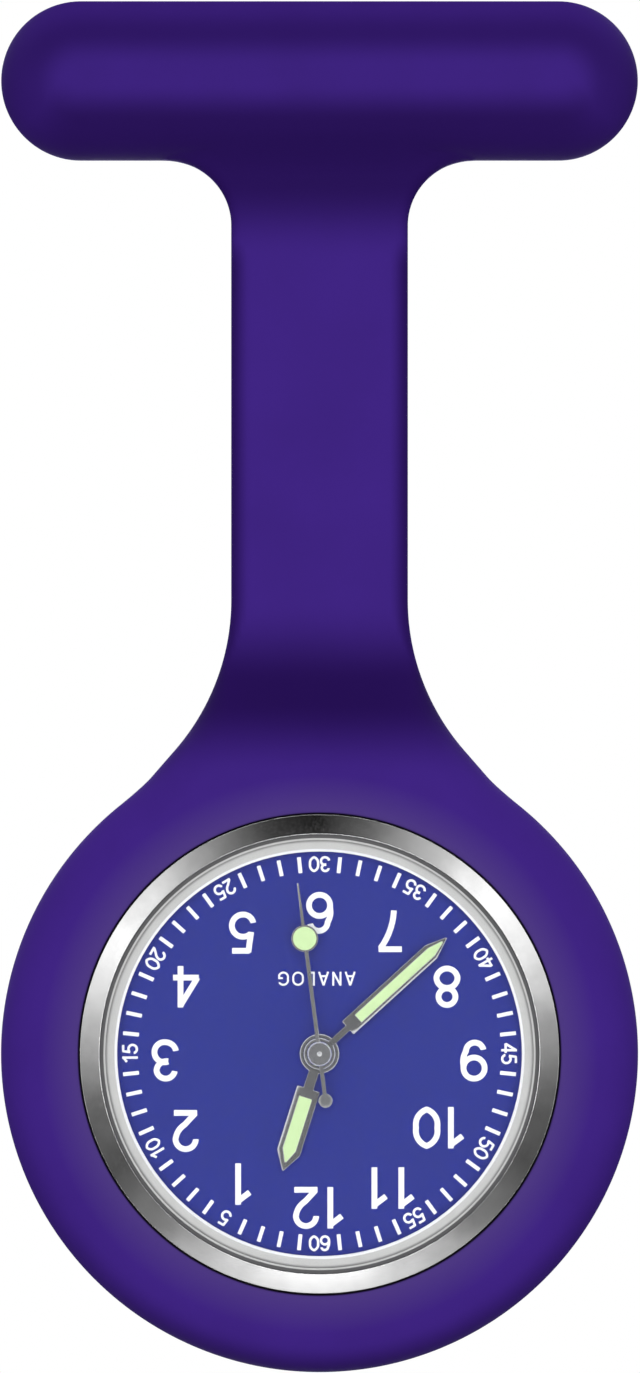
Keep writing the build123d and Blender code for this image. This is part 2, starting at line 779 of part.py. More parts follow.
third_spot = meshing_spot(centre, second_leaves, third_teeth, third_module, 250)
fifth_spot = meshing_spot(centre, second_teeth, fifth_leaves, second_module, 320)
rotor_spot = meshing_spot(fifth_spot, fifth_teeth, rotor_teeth, rotor_module, 330)
minute_spot = meshing_spot(centre, cannon_leaves, minute_teeth, motion_module, 180)
setting_spot = meshing_spot(minute_spot, minute_teeth, setting_teeth, motion_module, 153)
battery_spot = (4.4, 6.3)
battery_radius = 3.4
pillar_spots = [(-7.4, -4.6), (8.6, -3.2), (0.2, 4.6)]
clamp_spots = [(0.4, 9.0), (8.7, 2.2)]
board_spots = [(-9.4, 4.4), (-2.6, 9.2)]
coil_v = -8.3
coil_spots = [(-4.4, coil_v), (4.4, coil_v)]
lever_spot = (-9.0, 2.4)
pivot_radius = 0.1
pillar_radius = 0.7
screw_shank = 0.35
screw_hole = 0.38
screw_depth = 0.9
pivot_hole = pivot_radius + 0.03
stud_radius = 0.2                # the fixed studs that the motion works turn on
lever_stud = 0.3

# depths of the train's layers
center_layer = plate_back + 0.15
third_layer = plate_back + 0.75
second_layer = plate_back + 1.25
fifth_layer = plate_back + 1.85
motion_layer = plate_front - 0.25
hour_layer = motion_layer - 0.4
thin = 0.15
stator_front = plate_back + 0.4
stator_back = plate_back + 0.8
clamp_front = bridge_back + 0.35
clamp_back = clamp_front + thin
board_front = bridge_front - 0.4
board_back = board_front + 0.2
wheel_spots = [third_spot, fifth_spot, rotor_spot]
center_hole = 0.4
pinion_window = [(-8.1, -1.0), (-5.1, -1.0), (-5.1, 1.0), (-8.1, 1.0)]

# the pillars that carry a screw: their spots and the depth of their tops
pillar_rows = [
    (pillar_spots, bridge_front),
    (clamp_spots, clamp_front),
    (board_spots, board_front),
    (coil_spots, stator_front),
]

ring_inner = movement_radius + 0.3
ring_outer = movement_bore - 0.2
notch_radius = 1.2
with BuildPart() as movement_ring:
    disc(centre, dial_back + fit, flange_front - 0.35, ring_outer, ring_inner)
    shaft(stem_line, [(-movement_bore, 0.7)], -ring_inner + 1, Mode.SUBTRACT)
    for notch_angle in (60, 240, 300):
        notch_middle = spot_at(centre, ring_outer, notch_angle)
        disc(notch_middle, dial_back, back_front, notch_radius, mode=Mode.SUBTRACT)
finish("movement_ring", movement_ring)

with BuildPart() as main_plate:
    disc(centre, plate_front, plate_back, movement_radius, center_hole)
    for spots, top in pillar_rows:
        for spot in spots:
            disc(spot, (plate_front + plate_back) / 2, top, pillar_radius)
    disc(lever_spot, plate_back, stem_y + 1.0, lever_stud)
    for spot in (minute_spot, setting_spot):
        disc(spot, hour_layer - 0.1, plate_front, stud_radius)
    for spots, top in pillar_rows:
        for spot in spots:
            disc(spot, top - screw_depth, top, screw_hole, mode=Mode.SUBTRACT)
    for spot in wheel_spots:
        disc(spot, plate_back - 0.4, plate_back, pivot_hole, mode=Mode.SUBTRACT)
    for spot in foot_spots:
        disc(spot, plate_front, plate_back, foot_radius + running, mode=Mode.SUBTRACT)
    shaft(stem_line, [(-movement_radius - 1, stem_radius + fit)], -4.0, Mode.SUBTRACT)
    plate(plate_front, plate_back, pinion_window, Mode.SUBTRACT)
finish("main_plate", main_plate)

bridge_top = 2.9                 # the bridge covers the movement below this line
tongue_half = 1.3                # its tongue reaches up to the third pillar
coil_window = (8.0, 6.0)
with BuildPart() as train_bridge:
    with BuildSketch(axle_plane(centre, bridge_back)) as bridge_face:
        Circle(movement_radius - 0.4)
        with Locations((0, bridge_top + movement_radius)):
            Rectangle(2 * movement_radius, 2 * movement_radius, mode=Mode.SUBTRACT)
        with Locations(pillar_spots[2]):
            Circle(tongue_half)
        with Locations((pillar_spots[2][0], (pillar_spots[2][1] + bridge_top - tongue_half) / 2)):
            Rectangle(2 * tongue_half, pillar_spots[2][1] - bridge_top + tongue_half)
        with Locations(battery_spot):
            Circle(battery_radius + 0.25, mode=Mode.SUBTRACT)
        with Locations(clamp_spots[1]):
            Circle(pillar_radius + 0.3, mode=Mode.SUBTRACT)
        with Locations((0, coil_v - 1.9)):
            Rectangle(*coil_window, mode=Mode.SUBTRACT)
        with Locations(*pillar_spots):
            Circle(screw_hole, mode=Mode.SUBTRACT)
        with Locations(centre, *wheel_spots):
            Circle(pivot_hole, mode=Mode.SUBTRACT)
    extrude(bridge_face.sketch, amount=bridge_back - bridge_front)
finish("train_bridge", train_bridge)

# ---------------------------------------------------------------- stepping motor
rotor_hole = 0.95
magnet_radius = 0.75
axle_radius = 0.2
with BuildPart() as stator:
    with BuildSketch(axle_plane(centre, stator_back)) as stator_face:
        with BuildLine():
            Polyline(
                (5.2, coil_v - 0.8), (6.1, -3.0), (5.1, -1.9), (3.6, -2.0), (3.0, -3.6),
                (2.4, -5.6), (1.6, -6.2), (-5.2, -6.2), (-5.2, coil_v - 0.8), (-3.7, coil_v - 0.8),
                (-3.7, -7.1), (3.7, -7.1), (3.7, coil_v - 0.8), close=True)
        make_face()
        with Locations(rotor_spot):
            Circle(rotor_hole, mode=Mode.SUBTRACT)
        with Locations(*coil_spots):
            Circle(screw_hole, mode=Mode.SUBTRACT)
    extrude(stator_face.sketch, amount=stator_back - stator_front)
finish("stator", stator)

core_back = stator_back + 0.4
core_width = 0.7
core_eye = 0.75
coil_half = 3.4
coil_radius = 0.95
cheek_radius = 1.05              # the winding's raised ends
cheek_thick = 0.2
with BuildPart() as coil_core:
    with BuildSketch(axle_plane(centre, core_back)) as core_face:
        with Locations((0, coil_v)):
            Rectangle(2 * coil_spots[1][0], core_width)
        with Locations(*coil_spots):
            Circle(core_eye)
            Circle(screw_hole, mode=Mode.SUBTRACT)
    extrude(core_face.sketch, amount=core_back - stator_back)
finish("coil_core", coil_core)

with BuildPart() as coil_winding:
    coil_middle = (0, (stator_back + core_back) / 2, watch_z + coil_v)
    coil_line = Plane(origin=coil_middle, x_dir=(1, 0, 0), z_dir=(0, 0, 1))
    coil_steps = [(-coil_half, cheek_radius), (cheek_thick - coil_half, coil_radius),
                  (coil_half - cheek_thick, cheek_radius)]
    shaft(coil_line, coil_steps, coil_half)
    with BuildSketch(axle_plane(centre, core_back + press_room)) as coil_bore:
        with Locations((0, coil_v)):
            Rectangle(2 * coil_half + 1, core_width + 2 * press_room)
    extrude(coil_bore.sketch, amount=core_back - stator_back + 2 * press_room, mode=Mode.SUBTRACT)
finish("coil_winding", coil_winding)

rotor_tooth = heading(rotor_spot, fifth_spot)
fifth_tooth = mesh(rotor_tooth, rotor_teeth, heading(rotor_spot, fifth_spot), fifth_teeth)
fifth_leaf = heading(fifth_spot, centre)
second_tooth = mesh(fifth_leaf, fifth_leaves, heading(fifth_spot, centre), second_teeth)
second_leaf = heading(centre, third_spot)
third_tooth = mesh(second_leaf, second_leaves, heading(centre, third_spot), third_teeth)
third_leaf = heading(third_spot, centre)
center_tooth = mesh(third_leaf, third_leaves, heading(third_spot, centre), center_teeth)
cannon_leaf = heading(centre, minute_spot)
minute_tooth = mesh(cannon_leaf, cannon_leaves, heading(centre, minute_spot), minute_teeth)
minute_leaf = heading(minute_spot, centre)
hour_tooth = mesh(minute_leaf, minute_leaves, heading(minute_spot, centre), hour_teeth)
setting_tooth = mesh(minute_tooth, minute_teeth, heading(minute_spot, setting_spot), setting_teeth)
pivot_depth = 0.3                # how far a pivot reaches into its hole
end_shake = 0.05                 # room between an axle's shoulder and the bridge


def pivoted_axle(spot, *steps):
    """An axle between the main plate and the bridge, with a thin pivot at each end."""
    whole = [(plate_back - pivot_depth, pivot_radius), *steps, (bridge_front - end_shake, pivot_radius)]
    shaft(axle_line(spot), whole, bridge_front + pivot_depth)


with BuildPart() as rotor:
    pivoted_axle(rotor_spot, (plate_back + 0.1, magnet_radius), (plate_back + 1.0, axle_radius))
    gear(rotor_spot, fifth_layer - 0.1, fifth_layer + 0.3, rotor_teeth, rotor_module, rotor_tooth)
finish("rotor", rotor)

# ---------------------------------------------------------------- going train
with BuildPart() as fifth_wheel:
    pivoted_axle(fifth_spot, (plate_back + end_shake, axle_radius))
    gear(fifth_spot, fifth_layer, fifth_layer + thin, fifth_teeth, rotor_module, fifth_tooth)
    gear(fifth_spot, second_layer - 0.1, second_layer + 0.3, fifth_leaves, second_module, fifth_leaf)
finish("fifth_wheel", fifth_wheel)

with BuildPart() as second_wheel:
    second_steps = [
        (second_hand_back - 0.15, arbor_radius - press_room),
        (second_hand_back, arbor_radius),
        (bridge_front - end_shake, pivot_radius),
    ]
    shaft(watch_line, second_steps, bridge_front + pivot_depth)
    gear(centre, second_layer, second_layer + thin, second_teeth, second_module, second_tooth)
    gear(centre, third_layer - 0.15, third_layer + 0.3, second_leaves, third_module, second_leaf)
finish("second_wheel", second_wheel)

with BuildPart() as third_wheel:
    pivoted_axle(third_spot, (plate_back + end_shake, axle_radius - press_room))
    gear(third_spot, third_layer, third_layer + thin, third_teeth, third_module, third_tooth)
    gear(third_spot, center_layer - 0.05, center_layer + 0.3, third_leaves, center_module, third_leaf)
finish("third_wheel", third_wheel)

tube_outer = 0.36
arbor_bore = arbor_radius + running
stud_bore = stud_radius + running
with BuildPart() as center_wheel:
    gear(centre, center_layer, center_layer + 0.2, center_teeth, center_module, center_tooth, arbor_bore)
    disc(centre, center_layer - 0.1, center_layer + 0.35, 0.6, arbor_bore)
    disc(centre, minute_hand_back + 0.5, center_layer, tube_outer, arbor_bore)
finish("center_wheel", center_wheel)

# ---------------------------------------------------------------- motion works
with BuildPart() as cannon_pinion:
    cannon_front = minute_hand_back - hand_thick - press_room
    cannon_back = plate_front - 0.07
    cannon_bore = tube_outer + press_room
    gear(centre, motion_layer - 0.15, cannon_back, cannon_leaves, motion_module, cannon_leaf, cannon_bore)
    disc(centre, cannon_front, cannon_back, cannon_pipe, cannon_bore)
finish("cannon_pinion", cannon_pinion)

with BuildPart() as minute_wheel:
    gear(minute_spot, motion_layer, motion_layer + thin, minute_teeth, motion_module, minute_tooth, stud_bore)
    gear(minute_spot, hour_layer - 0.05, motion_layer, minute_leaves, motion_module, minute_leaf, stud_bore)
finish("minute_wheel", minute_wheel)

pipe_bore = cannon_pipe + running
with BuildPart() as hour_wheel:
    gear(centre, hour_layer, hour_layer + thin, hour_teeth, motion_module, hour_tooth, pipe_bore)
    disc(centre, hour_hand_back - hand_thick - press_room, hour_layer + thin, hour_pipe, pipe_bore)
finish("hour_wheel", hour_wheel)

with BuildPart() as setting_wheel:
    setting_back = motion_layer + thin
    gear(setting_spot, motion_layer, setting_back, setting_teeth, motion_module, setting_tooth, stud_bore)
finish("setting_wheel", setting_wheel)

with BuildPart() as dial_washer:
    disc(centre, dial_back + 0.04, dial_back + 0.16, 1.9, hour_pipe + 0.2)
finish("dial_washer", dial_washer)

cover_back = hour_layer - 0.06
with BuildPart() as motion_cover:
    with BuildSketch(axle_plane(centre, cover_back)) as cover_face:
        with BuildLine():
            Polyline((-9.2, -1.6), (-1.6, -3.2), (-1.2, 3.2), (-6.0, 4.4), (-9.2, 3.4), close=True)
        make_face()
        fillet(cover_face.vertices(), 0.8)
        Circle(2.55, mode=Mode.SUBTRACT)
        with Locations(minute_spot, setting_spot):
            Circle(0.3, mode=Mode.SUBTRACT)
    extrude(cover_face.sketch, amount=0.1)
    for spot in ((-8.4, 2.9), (-8.4, -1.1)):
        disc(spot, cover_back, plate_front, 0.35)
finish("motion_cover", motion_cover)

# ---------------------------------------------------------------- hand setting
groove_start = -8.95
groove_end = -8.45
groove_radius = 0.22
pinion_start = -7.3
pinion_end = -5.9
with BuildPart() as stem:
    stem_steps = [
        (stem_end, stem_radius - press_room),
        (seal_x - 0.15, tube_bore - 2 * seal_radius - press_room),
        (seal_x + 0.15, stem_radius),
        (groove_start, groove_radius),
        (groove_end, stem_radius),
        (pinion_start, stem_radius - press_room),
        (pinion_end, 0.3),
    ]
    shaft(stem_line, stem_steps, -4.4)
finish("stem", stem)

with BuildPart() as setting_pinion:
    pinion_plane = Plane(origin=(pinion_start, stem_y, watch_z), x_dir=(0, 1, 0), z_dir=(1, 0, 0))
    with BuildSketch(pinion_plane) as pinion_face:
        Circle(0.85)
        with PolarLocations(0.9, 12):
            Circle(0.13, mode=Mode.SUBTRACT)
        Circle(stem_radius, mode=Mode.SUBTRACT)
    extrude(pinion_face.sketch, amount=pinion_end - pinion_start)
finish("setting_pinion", setting_pinion)

lever_front = stem_y + stem_radius + 0.2
lever_back = lever_front + 0.2
groove_middle = ((groove_start + groove_end) / 2, 0.0)
with BuildPart() as setting_lever:
    strip(lever_front, lever_back, lever_spot, groove_middle, 0.7)
    disc(lever_spot, lever_front, lever_back, 0.65)
    disc(groove_middle, stem_y + groove_radius + 0.03, lever_front, 0.17)
    disc(lever_spot, lever_front, lever_back, lever_stud + running, mode=Mode.SUBTRACT)
finish("setting_lever", setting_lever)

# ---------------------------------------------------------------- circuit and battery
with BuildPart() as circuit_board:
    board_outline = [
        (-10.6, 2.6), (-2.3, 2.6), (-1.1, 5.6), (-0.9, 7.6), (-1.4, 9.9), (-4.2, 10.2), (-8.2, 7.4),
    ]
    plate(board_front, board_back, board_outline)
    for spot in board_spots:
        disc(spot, board_front, board_back, screw_hole, mode=Mode.SUBTRACT)
finish("circuit_board", circuit_board)

with BuildPart() as ic_chip:
    disc((-6.3, 5.4), board_back, board_back + 0.4, 1.1)
    fillet(ic_chip.edges().sort_by(Axis.Y)[-1], 0.35)
finish("ic_chip", ic_chip)

with BuildPart() as quartz_can:
    can_line = Plane(origin=(-6.6, board_front - 0.68, watch_z + 3.9), x_dir=(1, 0, 0), z_dir=(0, 0, 1))
    shaft(can_line, [(0, 0.5), (0.2, 0.6)], 4.6)
    fillet(quartz_can.edges().sort_by(Axis.X)[-1], 0.25)
finish("quartz_can", quartz_can)

cell_front = plate_back + 0.7
cell_back = bridge_back + 0.3
with BuildPart() as battery:
    cell_steps = [(cell_front, 2.5), (cell_front + 0.3, battery_radius)]
    shaft(axle_line(battery_spot), cell_steps, cell_back)
    fillet(battery.edges().sort_by(Axis.Y)[-1], 0.25)
finish("battery", battery)

with BuildPart() as battery_contact:
    contact_back = cell_front - press_room
    strip(contact_back - thin, contact_back, (-2.0, 7.3), battery_spot, 1.4)
    disc((-1.9, 7.3), contact_back, board_front, 0.4)
finish("battery_contact", battery_contact)

with BuildPart() as battery_clamp:
    strip(clamp_front, clamp_back, clamp_spots[0], clamp_spots[1], 1.9)
    for spot in clamp_spots:
        disc(spot, clamp_front, clamp_back, screw_hole, mode=Mode.SUBTRACT)
finish("battery_clamp", battery_clamp)

head_radius = 0.62
head_thick = 0.3
slot_across = 0.18
slot_deep = 0.12
thread_length = 0.8              # how far each screw reaches into its pillar
screw_seats = [bridge_back, clamp_back, board_back, core_back]
with BuildPart() as movement_screws:
    for (spots, top), seat in zip(pillar_rows, screw_seats):
        for spot in spots:
            screw_steps = [(top - thread_length, screw_shank), (seat, head_radius)]
            shaft(axle_line(spot), screw_steps, seat + head_thick)
            with BuildSketch(axle_plane(spot, seat + head_thick)) as slot:
                Rectangle(3 * head_radius, slot_across, rotation=heading(centre, spot))
            extrude(slot.sketch, amount=slot_deep, mode=Mode.SUBTRACT)
finish("movement_screws", movement_screws)
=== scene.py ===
import json
import math

import bpy
import numpy as np
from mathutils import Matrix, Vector


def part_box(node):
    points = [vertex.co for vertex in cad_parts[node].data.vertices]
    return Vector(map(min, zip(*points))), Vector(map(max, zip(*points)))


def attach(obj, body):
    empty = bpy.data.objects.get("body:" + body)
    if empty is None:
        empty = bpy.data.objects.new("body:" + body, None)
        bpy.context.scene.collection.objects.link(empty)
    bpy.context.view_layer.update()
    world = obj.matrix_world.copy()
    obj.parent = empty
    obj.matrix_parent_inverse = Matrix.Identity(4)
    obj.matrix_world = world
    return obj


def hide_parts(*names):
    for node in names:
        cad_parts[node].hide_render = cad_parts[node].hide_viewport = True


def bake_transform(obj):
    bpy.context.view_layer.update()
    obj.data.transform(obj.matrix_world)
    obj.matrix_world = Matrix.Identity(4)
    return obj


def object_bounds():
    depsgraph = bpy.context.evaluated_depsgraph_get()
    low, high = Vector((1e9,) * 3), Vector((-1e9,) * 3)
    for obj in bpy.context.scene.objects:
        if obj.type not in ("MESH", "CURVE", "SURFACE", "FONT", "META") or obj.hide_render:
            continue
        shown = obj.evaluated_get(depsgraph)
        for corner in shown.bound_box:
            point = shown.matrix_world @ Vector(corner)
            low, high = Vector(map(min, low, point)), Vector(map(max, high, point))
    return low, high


# Looks of the silicone fob watch: one soft holder made as an implicit surface, a turned bezel and
# glass, and procedural finishes on every carried-over part. The holder's shape is worked out in
# millimetres, everything else in metres. -Y faces the viewer and +Z is up.

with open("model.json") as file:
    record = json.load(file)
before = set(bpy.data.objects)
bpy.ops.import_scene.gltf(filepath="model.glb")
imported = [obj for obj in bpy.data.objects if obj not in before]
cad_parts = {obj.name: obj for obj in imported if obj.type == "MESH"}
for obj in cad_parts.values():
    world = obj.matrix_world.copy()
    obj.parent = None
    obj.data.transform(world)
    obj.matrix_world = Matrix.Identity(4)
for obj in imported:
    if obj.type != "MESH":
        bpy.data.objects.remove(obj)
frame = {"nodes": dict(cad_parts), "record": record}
cad_low, cad_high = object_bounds()

MM = 0.001


# ================================================================ sizes read from the frame
def box_mm(node):
    """A CAD node's lowest and highest corner in millimetres."""
    low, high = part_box(node)
    return np.array(low) / MM, np.array(high) / MM


def middle(low, high):
    """The middle of a box."""
    return (low + high) / 2


ring_low, ring_high = box_mm("silicone_ring")
bar_low, bar_high = box_mm("silicone_hanger")
case_low, case_high = box_mm("mid_case")
bezel_low, bezel_high = box_mm("bezel")
glass_low, glass_high = box_mm("crystal")
crown_low, crown_high = box_mm("crown")
plate_low, plate_high = box_mm("pin_plate")
gasket_high = box_mm("crystal_gasket")[1]

watch_z = float(middle(case_low, case_high)[2])

ring_radius = (ring_high[0] - ring_low[0]) / 2
ring_half = (ring_high[1] - ring_low[1]) / 2
middle_y = float(middle(ring_low, ring_high)[1])
bar_half_length = (bar_high[0] - bar_low[0]) / 2
bar_half_height = float(bar_high[2])
bar_half_depth = float(bar_high[1]) - middle_y
case_radius = (case_high[0] - case_low[0]) / 2
bezel_radius = (bezel_high[0] - bezel_low[0]) / 2
glass_radius = (glass_high[0] - glass_low[0]) / 2
dial_opening = 12.7              # the inside of the pale flange

# ---------------------------------------------------------------- the holder's own sizes, mm
housing_rounding = 2.8
bar_rounding = 3.6
web_fillet = 4.1                 # between the bar and the strap
strap_half_width = 5.55
strap_half_thick = 1.3
web_end = strap_half_width + web_fillet
strap_rounding = 0.7
root_top = -3.5                  # the strap starts inside the bar
root_fillet = 1.2                # between their faces, fading out towards their middle plane
root_start = -11.0               # and is thicker from here up
root_swell = 0.9
fillet_start = 0.3               # that fillet starts this far from the middle plane
smallest_fillet = 0.01
flare_start = -32.6
flare_radius = 14.4
flare_turn = math.radians(41)
flare_end = -46.6
dip_start = -35.6                # the strap rises from here to the housing's front
dip_end = -43.2
lip = 1.2
front_opening = bezel_radius + 0.012
crevice = 0.1                    # half the painted shadow line where the lip meets the bezel
painted_sheen_end = 17.5                 # the painted sheen round the bezel fades out here
back_opening = 13.5
case_room = 0.1
crown_pocket_radius = 2.2
crown_pocket_end = -18.8
pocket_room = 0.5                # the pin's base strip has this room all round
mouth_half = (13.0, 2.8)
mouth_start = -1.2
seat_corner = 2.5
mouth_corner = 1.0
edge_softness = 0.32
holder_cell = 0.3

# painted shade in the silicone's colour, where its faces turn away: how much, from 0 to 1, and (start,
# width) of each fade in mm
bar_ground = 0.12
bar_edge = 0.46
bar_edge_above = 0.1
bar_edge_fade = (0.9, 2.1)
bar_top_relief = 0.2
bar_top_fade = (3.2, 1.4)
bar_below = 0.75
bar_below_fade = (0.2, 2.3)
root_tone = 0.88
root_half_width = 10
root_fade_in = (0.2, 2.3)
root_fade_out = (6.4, 5.0)
dip_tone = 0.9
dip_fade_in = (32.6, 5.2)
dip_fade_out = (39.0, 4.8)
edge_tone = 0.75
edge_fade = (0.2, 1.0)
web_fade = (-12, 3)
housing_fade = (-45, 6)
rim_tone = 0.8
rim_fade = (18.3, 1.8)
rim_power = 1.5                  # how closely the rim's tone keeps to the bottom
turned_away = 0.2                # the sides of the moulding keep the plain colour


# ================================================================ implicit surface
def soft_union(a, b, radius):
    """Two distances joined, with a round fillet where they meet."""
    corner = np.hypot(np.maximum(radius - a, 0), np.maximum(radius - b, 0))
    return np.maximum(radius, np.minimum(a, b)) - corner


def soft_cut(a, b, radius):
    """The first shape without the second, with its edge rounded."""
    return -soft_union(-a, b, radius)


def slab(outline, depth, radius):
    """A flat shape with rounded edges, from its outline's distance and its faces' distance."""
    u = outline + radius
    v = depth + radius
    return np.minimum(np.maximum(u, v), 0) + np.hypot(np.maximum(u, 0), np.maximum(v, 0)) - radius


def rectangle(x, z, half_x, half_z, corner):
    """Distance from a rectangle with round corners."""
    u = np.abs(x) - half_x + corner
    v = np.abs(z) - half_z + corner
    return np.minimum(np.maximum(u, v), 0) + np.hypot(np.maximum(u, 0), np.maximum(v, 0)) - corner


def smooth(t):
    """An even rise from 0 to 1."""
    t = np.clip(t, 0, 1)
    return t * t * (3 - 2 * t)


def rising(value, start, width):
    """0 up to start, then an even rise to 1 over width."""
    return smooth((value - start) / width)


def bar_reach(x, z):
    """Distance from the line that the T-bar's stadium outline runs around."""
    return np.hypot(np.maximum(np.abs(x) - (bar_half_length - bar_half_height), 0), z)


def bar_distance(x, y, z):
    """The T-bar: a stadium with a large edge rounding."""
    outline = bar_reach(x, z) - bar_half_height
    return slab(outline, np.abs(y - middle_y) - bar_half_depth, bar_rounding)


def strap_outline(x, z):
    """Distance from the strap's outline, seen from the front, with its flare towards the housing."""
    lean = np.arcsin(np.clip((flare_start - z) / flare_radius, 0, math.sin(flare_turn)))
    straight = np.maximum(flare_start - flare_radius * math.sin(flare_turn) - z, 0)
    half_width = strap_half_width + flare_radius * (1 - np.cos(lean)) + straight * np.tan(lean)
    return (np.abs(x) - half_width) * np.cos(lean)


def strap_distance(x, y, z):
    """The strap with its thicker root, the webs at the bar and the flare that rises to the housing."""
    outline = soft_union(strap_outline(x, z), bar_reach(x, z) - bar_half_height, web_fillet)
    outline = np.where(z > root_start, np.maximum(outline, np.abs(x) - web_end), outline)
    root = smooth((z - root_start) / (root_top - root_start))
    rise = (dip_start - z) / (dip_start - dip_end)
    swell = smooth(rise)
    full = ring_half - strap_half_thick
    half_thick = strap_half_thick + root_swell * root + full * swell
    steepness = full * 6 * np.clip(rise, 0, 1) * (1 - np.clip(rise, 0, 1)) / (dip_start - dip_end)
    depth = (np.abs(y - middle_y) - half_thick) / np.hypot(1, steepness)
    body = slab(outline, depth, strap_rounding + (housing_rounding - strap_rounding) * swell)
    return np.maximum(body, np.maximum(z - root_top, flare_end - z))


def housing_distance(x, y, z):
    """The round housing."""
    outline = np.hypot(x, z - watch_z) - ring_radius
    return slab(outline, np.abs(y - middle_y) - ring_half, housing_rounding)


def watch_room(x, y, z):
    """The space for the case: its seat, the front and back openings and the crown's pocket."""
    radius = np.hypot(x, z - watch_z)
    seat = np.maximum(radius - case_radius - case_room, np.abs(y - middle_y) - ring_half + lip)
    front = np.maximum(radius - front_opening, y - middle_y)
    back = np.maximum(radius - back_opening, middle_y - y)
    crown_y = float(middle(crown_low, crown_high)[1])
    around = np.hypot(y - crown_y, z - watch_z) - crown_pocket_radius
    pocket = np.maximum(around, np.maximum(crown_pocket_end - x, x))
    return np.minimum(np.minimum(seat, pocket), np.minimum(front, back))


def pin_room(x, y, z):
    """The pocket for the pin's base strip and its smaller mouth."""
    half_x = float(plate_high[0]) + pocket_room
    half_z = float(plate_high[2]) + pocket_room
    floor = float(plate_low[1])
    seat = np.maximum(rectangle(x, z, half_x, half_z, seat_corner), np.maximum(floor - y, y - mouth_start))
    mouth = np.maximum(rectangle(x, z, *mouth_half, mouth_corner), floor - y)
    return np.minimum(seat, mouth)


def holder_distance(x, y, z):
    """The whole silicone moulding, kept inside the CAD parts' depth."""
    within_web = np.clip((web_end - np.abs(x)) / web_fillet, 0, 1)
    off_middle = rising(np.abs(y - middle_y), fillet_start, strap_half_thick)
    fillet = smallest_fillet + root_fillet * within_web * off_middle
    hanging = soft_union(bar_distance(x, y, z), strap_distance(x, y, z), fillet)
    body = soft_union(hanging, housing_distance(x, y, z), edge_softness)
    body = np.maximum(body, np.abs(y - middle_y) - ring_half)
    body = soft_cut(body, watch_room(x, y, z), edge_softness)
    return soft_cut(body, pin_room(x, y, z), edge_softness)


def settle(points, distance, steps):
    """Points moved onto the surface along the distance's slope."""
    reach = 0.01
    flattest = 0.25              # keeps the steps small where the slope nearly vanishes
    for _ in range(steps):
        slope = np.empty_like(points)
        for axis in range(3):
            shift = np.zeros(3)
            shift[axis] = reach
            slope[:, axis] = (distance(*(points + shift).T) - distance(*(points - shift).T)) / (2 * reach)
        length = np.maximum((slope ** 2).sum(1), flattest)
        step = (distance(*points.T) / length)[:, None] * slope
        points = points - np.clip(step, -holder_cell / 2, holder_cell / 2)
    return points


def slopes(points, distance):
    """The unit normals of the surface at points."""
    reach = 0.02
    normals = np.empty_like(points)
    for axis in range(3):
        shift = np.zeros(3)
        shift[axis] = reach
        normals[:, axis] = distance(*(points + shift).T) - distance(*(points - shift).T)
    return normals / np.linalg.norm(normals, axis=1)[:, None]


def painted_shade_depth(points):
    """How much painted shade darkens the silicone's colour, from 0 to 1, where its front or back turns
    away.
    """
    x, y, z = points.T
    reach = bar_reach(x, z)
    upwards = z / np.maximum(reach, 0.01)
    rise = np.maximum(upwards, 0)
    fall = np.maximum(-upwards, 0)
    bar = bar_ground + (bar_edge + bar_edge_above * rise) * rising(reach, *bar_edge_fade)
    bar = bar - bar_top_relief * rise * rising(reach, *bar_top_fade)
    below = bar_ground + bar_below * fall * rising(reach, *bar_below_fade)
    bar = np.maximum(bar, below) * (z > -bar_half_height)
    root = root_tone * rising(-z, *root_fade_in) * (1 - rising(-z, *root_fade_out))
    dip = dip_tone * rising(-z, *dip_fade_in) * (1 - rising(-z, *dip_fade_out))
    inside = -strap_outline(x, z)
    below_webs = 1 - rising(z, *web_fade)
    above_housing = rising(z, *housing_fade)
    edge = edge_tone * (1 - rising(inside, *edge_fade)) * below_webs * above_housing
    radius = np.hypot(x, z - watch_z)
    downwards = np.clip((watch_z - z) / radius, 0, 1) ** rim_power
    rim = rim_tone * downwards * rising(radius, *rim_fade)
    strongest_shade = np.maximum.reduce([bar, np.where(np.abs(x) < root_half_width, root, 0), dip, edge, rim])
    facing = smooth(np.abs(slopes(points, holder_distance)[:, 1]) / turned_away)
    return np.clip(strongest_shade * facing, 0, 1)


def relax(points, quads, distance, rounds):
    """Points evened out over the surface."""
    share = 0.5
    edges = np.vstack([quads[:, [i, (i + 1) % 4]] for i in range(4)])
    pairs = np.vstack([edges, edges[:, ::-1]])
    count = np.bincount(pairs[:, 0], minlength=len(points))
    for _ in range(rounds):
        mean = np.empty_like(points)
        for axis in range(3):
            mean[:, axis] = np.bincount(pairs[:, 0], points[pairs[:, 1], axis], len(points)) / count
        points = settle(points + share * (mean - points), distance, 2)
    return points


